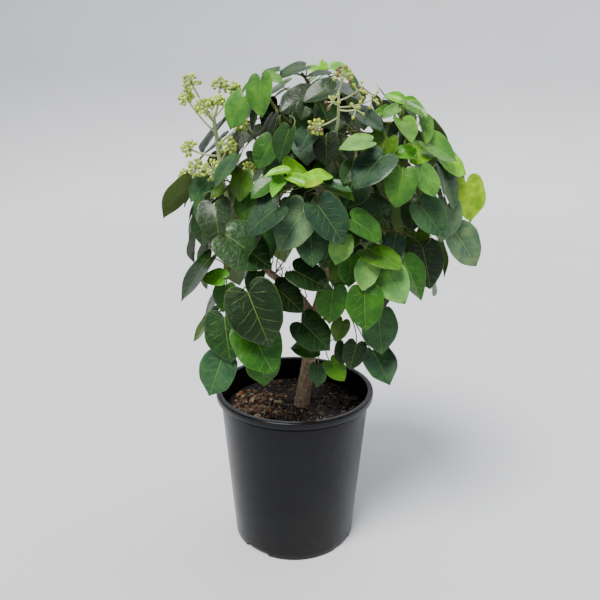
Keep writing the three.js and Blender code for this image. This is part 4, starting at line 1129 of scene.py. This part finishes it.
# Painted shade: darker tones for the inner leaves toward the front, where the inside of the crown lies in
# shade.
INNER_SHADE_TONES = ("shade", "dark", "shade", "deep", "mid")
INNER_SLACK = 2  # mm past the solids' box that an inner leaf may reach
INNER_MARGIN = {"same_spray": 0.2, "other_spray": 0.3}
FLOWER_ROOM = 27  # mm round the large flower head without inner leaves before it
BARE_STALKS = {
    "count": 26, "from": (-22, 0, 350), "around": 34, "reach": 46, "tries": 400, "sway": 12,
    "radii": (0.9, 0.8, 0.55), "light": 1.3,
}


def wood_joints():
    """Places on the boughs where the inner leaves' own stalks start."""
    return [point for path, radii in WOOD_PATHS[1:] for point in sample_path(path, radii, 4)[0][3:]]


def hides_flowers(leaf):
    """Whether a leaf would hang before the large flower head, which stands clear of the crown."""
    head = FLOWER_HEADS["flowers_left"]
    for place in [*head["stem"], *(umbel[:3] for umbel in head["umbels"])]:
        apart = leaf["base"] - UP * leaf["length"] / 2 - place
        if apart[1] < 0 and math.hypot(apart[0], apart[2]) < FLOWER_ROOM:
            return True
    return False


def inside_cad_box(pieces):
    """Whether the corners of the pieces stay inside the solids' own box."""
    corners = np.vstack([piece[0] for piece in pieces])
    low, high = (arr(*corner) / MM for corner in cad_box)
    return (corners > low - INNER_SLACK).all() and (corners < high + INNER_SLACK).all()


def dress_inner_leaves(sprays, placed):
    """Leaves deep in the crown, on the boughs and on what is left of the twigs' joints; those toward the
    front are painted darker, as painted shade inside the crown.
    """
    random = make_random(30)
    skin = Skin()
    owners = [("wood", wood_joints()), *((spray["name"], spray["joints"]) for spray in sprays)]
    for row in INNER_ROWS + [row for shell in INNER_SHELLS for row in shell_rows(*shell)]:
        name, joints = nearest_owner(owners, arr(*row[:3]))
        found = settle(make_leaf(row, name, random), joints, placed, INNER_TRIES, INNER_MARGIN)
        if not found or not inside_cad_box(found[1]) or hides_flowers(found[0]):
            continue
        leaf, pieces, joint = found
        placed.add(pieces)
        joints.pop(joint)
        # Inner leaves toward the front take painted shade tones; the others take the shell leaves' tones.
        leaf["tone"] = fill_tone(leaf, random) if row[1] > 0 else INNER_SHADE_TONES[int(random() * 5)]
        add_leaf(skin, leaf, random)
    add_bare_stalks(skin, placed, random)
    skin.build("inner_leaves", LEAF, "leaf_deep")


def add_bare_stalks(skin, placed, random):
    """Thin stalks that have lost their leaves, up from the left bough into the open middle."""
    start, around = BARE_STALKS["from"], BARE_STALKS["around"]
    near = [joint for joint in wood_joints() if np.abs(joint - start).max() < around]
    grown = 0
    for _ in range(BARE_STALKS["tries"]):
        root = near[int(random() * len(near))]
        way = arr(1.1 * random() - 0.6, -0.9 * random(), 0.25 + random())
        end = root + way * BARE_STALKS["reach"] * mix(0.5, 1, random())
        sway = arr(random() - 0.5, random() - 0.5, random() - 0.7)
        path = [root, (root + end) / 2 + BARE_STALKS["sway"] * sway, end]
        run, widths = sample_path(path, BARE_STALKS["radii"], 6)
        probe = stem_pieces((run, widths), "wood", "root")
        if grown < BARE_STALKS["count"] and placed.clears(probe, INNER_MARGIN):
            grown += 1
            placed.add(stem_pieces((run, widths), "wood"))
            skin.tube(run, widths, linear(TWIG_TONE) * BARE_STALKS["light"], sides=6)


# ---- Flower heads, dressed ----

# Width and height of each row of a bud, in bud radii.
BUD_SHAPE = ((0.55, -0.8), (0.95, -0.35), (1.0, 0.1), (0.8, 0.55), (0.5, 0.78), (0.34, 1.02))
BUD_ENDS = (-0.95, 1.1)  # where its two end points lie along it
BUD_SIDES = 8
# How an umbel's buds stray, how far round toward its stalk they grow, and what each draws.
UMBEL = {
    "jitter": 0.35, "back": -0.6, "reach": (0.76, 1), "radius": (1.5, 2.15), "light": (0.9, 1.35),
    "stretch": (0.9, 1.2), "neck": 1.6, "stalk_radii": (0.6, 0.5, 0.7), "main_stalk": (1.15, 1.2),
}
FLOWER_LOOK = {
    "flowers_left": {"tones": BUD_TONES, "thin": 0.95, "swell": [1.25] * 14, "buds": [34] * 14},
    "flowers_right": {
        "tones": SPENT_TONES, "thin": 0.72, "swell": [1.2, 1.45, 1.45, 1.15, 1.5, 1.4],
        "buds": [26, 9, 7, 26, 8, 10],
    },
}
TOP_UMBEL_DROP = 7  # the left head's highest umbel hangs a little lower than its solid's middle


def add_bud(skin, centre, radius, way, stretch, tone):
    """A small bud: a round body with a blunt cap where its petals meet."""
    across = unit(np.cross(way, arr(0.3, 0.5, 0.81)))
    third = np.cross(way, across)
    points = []
    for width, height in BUD_SHAPE:
        for turn in circle(BUD_SIDES):
            out = across * math.cos(turn) + third * math.sin(turn)
            points.append(centre + (out * width + way * height * stretch) * radius)
    points += [centre + way * radius * stretch * end for end in BUD_ENDS]
    skin.add(points, closed_faces(len(BUD_SHAPE), BUD_SIDES), tone)


def dress_umbel(skin, hub, away, reach, count, tones, random):
    """Buds on fine stalks round a hub, none of them back along the umbel's own stalk."""
    for height, ring, turn in spiral(count):
        way = arr(ring * math.cos(turn), ring * math.sin(turn), height)
        way = unit(way + UMBEL["jitter"] * arr(random() - 0.5, random() - 0.5, random() - 0.5))
        if way @ away < UMBEL["back"]:
            continue
        far = reach * mix(*UMBEL["reach"], random())
        radius = mix(*UMBEL["radius"], random())
        tone = linear(tones[int(random() * 3)]) * mix(*UMBEL["light"], random())
        add_bud(skin, hub + way * (far - radius), radius, way, mix(*UMBEL["stretch"], random()), tone)
        run = hub + np.outer(np.linspace(0, far - radius * UMBEL["neck"], 3), way)
        skin.tube(run, UMBEL["stalk_radii"], linear(PEDICEL_TONE), sides=5)


def dress_flowers():
    for number, (name, head) in enumerate(FLOWER_HEADS.items()):
        random, look = make_random(60 + number), FLOWER_LOOK[name]
        skin = Skin()
        stem, widths = sample_path(head["stem"], head["radii"], 4)
        tone = linear(PEDICEL_TONE)
        skin.tube(stem, widths * look["thin"], tone * 0.72, sides=10, wobble=0.04, seed=5)
        for i, (hub, bend, root) in enumerate(flower_runs(head)[2]):
            if number == 0 and i == 0:
                hub = hub - UP * TOP_UMBEL_DROP
            run, widths = stalk_points((hub, bend, root), 10), np.linspace(*UMBEL["main_stalk"], 11)
            skin.tube(run, widths * look["thin"], tone * 0.9, sides=7, wobble=0.03, seed=7)
            reach = head["umbels"][i][3] * look["swell"][i]
            dress_umbel(skin, hub, unit(hub - bend), reach, look["buds"][i], look["tones"], random)
        skin.build("blossom_" + name.removeprefix("flowers_"), BUD, "flower_bud", name)


# ---- Wood, soil and pot, dressed ----


ROOT_FLARE = {"height": 26, "share": 0.12}
WOOD_TONE, SOIL_TONE, POT_TONE = (0.2, 0.15, 0.12), (0.03, 0.02, 0.015), (0.02, 0.02, 0.02)


def dress_wood():
    skin = Skin()
    for number, (path, radii) in enumerate(WOOD_PATHS):
        points, widths = sample_path(path, radii, 4)
        if number == 0:
            rise = np.clip((points[:, 2] - SOIL["level"]) / ROOT_FLARE["height"], 0, 1)
            widths = widths * (1 + ROOT_FLARE["share"] * (1 - rise))
        skin.tube(points, widths, WOOD_TONE, sides=18, wobble=0.045, seed=number + 3)
    skin.build("trunk_and_boughs", BARK, "bark", "wood")


def lathe(profile, sides):
    return np.array([(r * math.sin(a), -r * math.cos(a), z) for r, z in profile for a in circle(sides)])


def outer_radius(z):
    wall_top = POT["rim_radius"] - POT["lip_width"] + POT["wall"]
    return mix(POT["foot_radius"], wall_top, z / POT["height"])


def inner_radius(z):
    return outer_radius(z) - POT["wall"]


# The mix's surface: the rows of its mesh, and the bumps that lie over each other on it.
BED = {"rings": 26, "sides": 96, "bumps": 240, "spread": 180, "bump_width": (4, 14), "bump_height": 1.5}
SOIL_TOP = inner_radius(SOIL["level"])


def dress_soil():
    random = make_random(77)
    rings, sides = BED["rings"], BED["sides"]
    top = SOIL_TOP - SOIL["gap"]
    shelf = POT["channel_height"] + POT["floor"] + 0.3
    profile = [(inner_radius(shelf) - SOIL["gap"], shelf)]
    profile += [(top * (1 - k / rings), SOIL["level"]) for k in range(rings)]
    points = lathe(profile, sides)
    lift = np.zeros(len(points))
    for _ in range(BED["bumps"]):
        at = arr(BED["spread"] * (random() - 0.5), BED["spread"] * (random() - 0.5))
        width, height = mix(*BED["bump_width"], random()), 2 * random() - 0.9
        lift += BED["bump_height"] * height * np.exp(-((points[:, :2] - at) ** 2).sum(1) / width**2)
    radius = np.hypot(points[:, 0], points[:, 1])
    inside = (points[:, 2] > SOIL["level"] - 1) & (radius < top - 0.5)
    points[inside, 2] += np.clip(lift[inside], -SOIL["lump"], SOIL["lump"])
    ends = [(0, 0, shelf), (0, 0, SOIL["level"])]
    skin = Skin()
    skin.add(np.vstack([points, ends]), closed_faces(len(profile), sides), SOIL_TONE)
    skin.build("potting_mix_bed", MIX, "potting_mix", "soil")


CHIP_FACES = [(0, 1, 3, 2), (4, 6, 7, 5), (0, 4, 5, 1), (2, 3, 7, 6), (0, 2, 6, 4), (1, 5, 7, 3)]
CHIP_TONES = ("30241C", "544032", "221A15", "7E6046", "9C846A", "945832", "C2AE92")
PERLITE_TONE, FIBRE_TONE = "E8E4DA", "8E7454"
PAINTED_SHADE_FROM, PAINTED_SHADE_DARKENING = 4, 0.42  # mm right of the pot's axis from where the loose chips are painted darker, as painted shade on the right side of the mix, and how much darker
TRUNK_FOOT, TRUNK_ROOM = (9, 8), 13  # no loose pieces lie this near the trunk
# Loose pieces on the mix. A higher smallness or darkness draws more small or dark ones.
CHIP = {
    "count": 1500, "size": (1.4, 7), "smallness": 2.6, "flat": (0.25, 0.6), "light": (0.4, 1.4),
    "darkness": 1.35,
}
HEAP = {  # coarser chips at the left
    "count": 150, "middle": (-48, -4), "reach": (34, 44), "rise": 1.5, "size": (3, 10),
    "smallness": 1.5, "flat": (0.35, 0.9), "light": (0.5, 1.3),
}
PERLITE = {"count": 150, "size": (0.9, 2.2), "flat": 0.8, "light": (0.6, 1)}
FIBRE = {
    "count": 120, "length": (5, 16), "slope": (-0.1, 0.25), "bend": (-0.3, 0.3), "rise": 2.2,
    "radius": (0.25, 0.6), "light": (0.4, 1.1),
}


def scatter(random, count, most):
    """Even places on the soil, clear of the trunk."""
    for _ in range(count):
        turn, far = 2 * math.pi * random(), most * math.sqrt(random())
        at = arr(far * math.sin(turn), -far * math.cos(turn), SOIL["level"])
        if math.hypot(at[0] - TRUNK_FOOT[0], at[1] - TRUNK_FOOT[1]) > TRUNK_ROOM:
            yield at


def add_chip(skin, random, at, size, flat, tone):
    """A broken chip: a box whose corners are pushed about."""
    signs = [(x, y, z) for x in (-1, 1) for y in (-1, 1) for z in (-1, 1)]
    spans = ((0.5, 1), (0.35, 0.8), (0.5, 1))
    corners = np.array([[s * mix(*span, random()) for s, span in zip(sign, spans)] for sign in signs])
    tip, face, across = leaf_axes(360 * random(), 90 * (random() - 0.5) * 0.9 + 90, 360 * random())
    points = corners * arr(1, 1, flat) * size / 2 @ np.array([across, tip, face])
    sink = UP * points[:, 2].min() * mix(0.1, 0.9, random())
    skin.add(points + at - sink, CHIP_FACES, tone)


def dress_chips():
    random = make_random(88)
    top = SOIL_TOP - 6
    chips, grit = Skin(), Skin()
    for at in scatter(random, CHIP["count"], top):
        size = mix(*CHIP["size"], random() ** CHIP["smallness"])
        tone = linear(CHIP_TONES[int(random() ** CHIP["darkness"] * len(CHIP_TONES))])
        # Chips right of the axis are painted darker: painted shade on the right side of the mix, away from
        # the key light.
        tone = tone * mix(*CHIP["light"], random()) * (PAINTED_SHADE_DARKENING if at[0] > PAINTED_SHADE_FROM else 1)
        add_chip(chips, random, at, size, mix(*CHIP["flat"], random()), tone)
    for _ in range(HEAP["count"]):
        x, y = (mid + far * (random() + random() - 1) for mid, far in zip(HEAP["middle"], HEAP["reach"]))
        if math.hypot(x, y) < top - 3:
            tone = linear(CHIP_TONES[1 + int(random() * 6)]) * mix(*HEAP["light"], random())
            size, flat = mix(*HEAP["size"], random() ** HEAP["smallness"]), mix(*HEAP["flat"], random())
            add_chip(chips, random, arr(x, y, SOIL["level"] + HEAP["rise"]), size, flat, tone)
    for at in scatter(random, PERLITE["count"], top):
        tone = linear(PERLITE_TONE) * mix(*PERLITE["light"], random())
        add_chip(grit, random, at + UP, mix(*PERLITE["size"], random()), PERLITE["flat"], tone)
    for at in scatter(random, FIBRE["count"], top - 8):
        add_fibre(grit, random, at)
    chips.build("bark_chips", CHIPS, "potting_mix", smooth=False)
    grit.build("perlite_and_fibres", CHIPS, "potting_mix", smooth=False)


def add_fibre(skin, random, at):
    turn, length = 2 * math.pi * random(), mix(*FIBRE["length"], random())
    way = arr(math.cos(turn), math.sin(turn), mix(*FIBRE["slope"], random()))
    bend = arr(-way[1], way[0], 0) * mix(*FIBRE["bend"], random())
    shares = np.linspace(-0.5, 0.5, 6)
    run = at + UP * FIBRE["rise"] + length * (np.outer(shares, way) + np.outer(shares**2, bend))
    widths = np.full(6, mix(*FIBRE["radius"], random()))
    skin.tube(run, widths, linear(FIBRE_TONE) * mix(*FIBRE["light"], random()), sides=4)


POT_SIDES = 192


def foot_profile():
    """From the skirt's inside, round its foot and up the outer wall to the groove under the lip."""
    foot, skirt = POT["foot_radius"], POT["foot_radius"] - POT["wall"]
    groove_foot = POT["height"] - POT["lip_height"] - POT["groove_height"]
    profile = [(skirt, POT["channel_height"]), (skirt, 0.6), (skirt + 0.5, 0), (foot - 0.6, 0)]
    profile += [(foot + 0.1, 0.8)] + [(outer_radius(z), z) for z in np.linspace(8, groove_foot - 1, 14)]
    deep = outer_radius(groove_foot) - POT["groove_depth"]
    return profile + [(outer_radius(groove_foot) - 0.1, groove_foot), (deep, groove_foot + 1)]


def lip_profile():
    """From the groove's top round the rolled lip to the pot's inside."""
    height, rim, curl = POT["height"], POT["rim_radius"], POT["lip_round"]
    lip_foot, inside = height - POT["lip_height"], rim - POT["lip_width"]
    deep = outer_radius(lip_foot) - POT["groove_depth"]
    profile = [(deep, lip_foot - 0.6), (deep + 0.6, lip_foot), (rim - 0.5, lip_foot), (rim, lip_foot + 0.5)]
    for turn in np.linspace(0, math.pi / 2, 7):
        profile.append((rim - curl * (1 - math.cos(turn)), height - curl * (1 - math.sin(turn))))
    return profile + [(inside + 0.8, height), (inside + 0.2, height - 0.25), (inside, height - 1)]


def floor_profile():
    """Down the inner wall, over the raised channel into the dish, and back under the floor."""
    floor, dish, inner = POT["floor"], POT["dish_radius"], POT["dish_radius"] - POT["floor"]
    channel, slope = POT["channel_height"], POT["channel_slope"]
    profile = [(inner_radius(z), z) for z in np.linspace(POT["height"] - 6, channel + floor, 10)]
    profile += [(inner + slope, channel + floor), (inner, floor), (inner - 20, floor), (inner - 40, floor)]
    return profile + [(20, 0), (dish - 1, 0), (dish, 0.3), (dish + slope, channel)]


def dress_pot():
    profile = foot_profile() + lip_profile() + floor_profile()
    skin = Skin()
    skin.add(lathe(profile, POT_SIDES), grid_faces(len(profile), POT_SIDES, ring=True), POT_TONE)
    cut_notches(skin.build("nursery_pot", PLASTIC, "pot_plastic", "pot"))


def prism_faces(count):
    """Faces of a solid between two loops of points."""
    sides = [(k, (k + 1) % count, count + (k + 1) % count, count + k) for k in range(count)]
    return [tuple(range(count))[::-1], tuple(range(count, 2 * count)), *sides]


def notch_cutter():
    """Trapezoid bars for the notches through the skirt, and drills for the drain holes behind them."""
    low, high, top = NOTCH["bottom_width"] / 2, NOTCH["top_width"] / 2, NOTCH["height"]
    half = [(low + 1, -2), (high + 0.5, top - 1), (high - 0.8, top)]
    section = [(-low - 1, -2), *half, (0.8 - high, top), (-high - 0.5, top - 1)]
    cutter = Skin()
    for i in range(NOTCH["count"]):
        angle = math.radians(NOTCH["first_angle"] + 360 * i / NOTCH["count"])
        out, aside = arr(math.sin(angle), -math.cos(angle), 0), arr(math.cos(angle), math.sin(angle), 0)
        bar = [out * r + aside * x + UP * z for r in (58, 92) for x, z in section]
        ring = [math.cos(turn) * out + math.sin(turn) * aside for turn in circle(24)]
        drain = NOTCH["drain_circle"] * out
        drill = [drain + NOTCH["drain_radius"] * way + UP * z for z in (-1, 12) for way in ring]
        for points in (bar, drill):
            cutter.add(points, prism_faces(len(points) // 2), (0, 0, 0))
    return cutter.mesh("notch_cutter")


def cut_notches(pot):
    tool = new_object("notch_cutter", notch_cutter())
    for mesh in (tool.data, pot.data):
        fix_normals(mesh)
    cut = pot.modifiers.new("notches", "BOOLEAN")
    cut.operation, cut.solver, cut.object = "DIFFERENCE", "EXACT", tool
    bpy.context.view_layer.update()
    cut_mesh = bpy.data.meshes.new_from_object(pot.evaluated_get(bpy.context.evaluated_depsgraph_get()))
    pot.modifiers.remove(cut)
    pot.data = cut_mesh
    bpy.data.objects.remove(tool)


def fix_normals(mesh):
    made = bmesh.new()
    made.from_mesh(mesh)
    bmesh.ops.recalc_face_normals(made, faces=made.faces)
    made.to_mesh(mesh)
    made.free()


# ---- Stage ----

CAMERA = {"place": (5.9, -733, 547), "pitch": 17.3, "roll": 0.4, "focal": 626, "frame": 600, "sensor": 36}
BACKDROP = {"radius": 2.3, "sweep": 0.7, "top": 2.7, "sides": 96}  # metres


def stage_material(name, color, rough):
    n = Nodes(name)
    return n.finish(n.mixed(n.band(n.noise(3, 4), 0.3, 0.7), color * 0.97, color), rough)


def make_stage():
    """A plain pale floor that sweeps up into a plain wall, far off on every side."""
    radius, sweep, sides = BACKDROP["radius"], BACKDROP["sweep"], BACKDROP["sides"]
    profile = [(0.02, 0.0), (0.6, 0.0)]
    for turn in np.linspace(0, math.pi / 2, 10):
        profile.append((radius + sweep * math.sin(turn), sweep * (1 - math.cos(turn))))
    profile.append((radius + sweep, BACKDROP["top"]))
    faces = [face[::-1] for face in grid_faces(len(profile), sides)] + [tuple(range(sides))]
    mesh = bpy.data.meshes.new("backdrop")
    mesh.from_pydata(lathe(profile, sides).tolist(), [], faces)
    mesh.polygons.foreach_set("use_smooth", [True] * len(mesh.polygons))
    mesh.materials.append(stage_material("pale_backdrop", linear("C8C9CC"), 0.9))
    new_object("backdrop", mesh)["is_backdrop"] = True


def add_sun(name, place, spread, power, color):
    """Wide soft light that falls evenly from the direction of a place."""
    data = bpy.data.lights.new(name, "SUN")
    data.angle, data.energy, data.color = math.radians(spread), power, color
    lamp = new_object(name, data)
    lamp.location = place
    lamp.rotation_euler = (-Vector(place)).to_track_quat("-Z", "Y").to_euler()


def light_scene():
    world = bpy.data.worlds.new("soft_sky")
    bpy.context.scene.world = world
    world.use_nodes = True
    sky = world.node_tree.nodes["Background"]
    sky.inputs["Color"].default_value = (0.86, 0.92, 1.0, 1.0)
    sky.inputs["Strength"].default_value = 0.62
    add_sun("key", (-0.45, -0.75, 1.5), 26, 5.8, (1.0, 0.985, 0.96))
    add_sun("back", (0.5, 0.8, 1.6), 60, 1.2, (0.97, 0.985, 1.0))


def make_camera():
    pitch, roll = math.radians(CAMERA["pitch"]), math.radians(CAMERA["roll"])
    ahead = arr(0, math.cos(pitch), -math.sin(pitch))
    level_up, level_right = arr(0, math.sin(pitch), math.cos(pitch)), arr(1, 0, 0)
    right = level_right * math.cos(roll) + level_up * math.sin(roll)
    up = level_up * math.cos(roll) - level_right * math.sin(roll)
    data = bpy.data.cameras.new("camera")
    data.sensor_width = CAMERA["sensor"]
    data.lens = CAMERA["sensor"] * CAMERA["focal"] / CAMERA["frame"]
    data.clip_end = 20
    camera = new_object("camera", data)
    turned = Matrix((right, up, -ahead)).transposed().to_4x4()
    camera.matrix_world = Matrix.Translation(Vector(CAMERA["place"]) * MM) @ turned
    bpy.context.scene.camera = camera


# ---- The whole scene ----

make_camera()
light_scene()
make_stage()

sprays = make_sprays()
placed = Placed()
fill_with_obstacles(placed, sprays)
grow_leaves(sprays, placed)
dress_sprays(sprays)
dress_inner_leaves(sprays, placed)
dress_flowers()
dress_wood()
dress_soil()
dress_chips()
dress_pot()


def corners(box):
    return [[float(value) for value in corner] for corner in box]


{"cad": corners(cad_box), "visual": corners(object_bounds())}
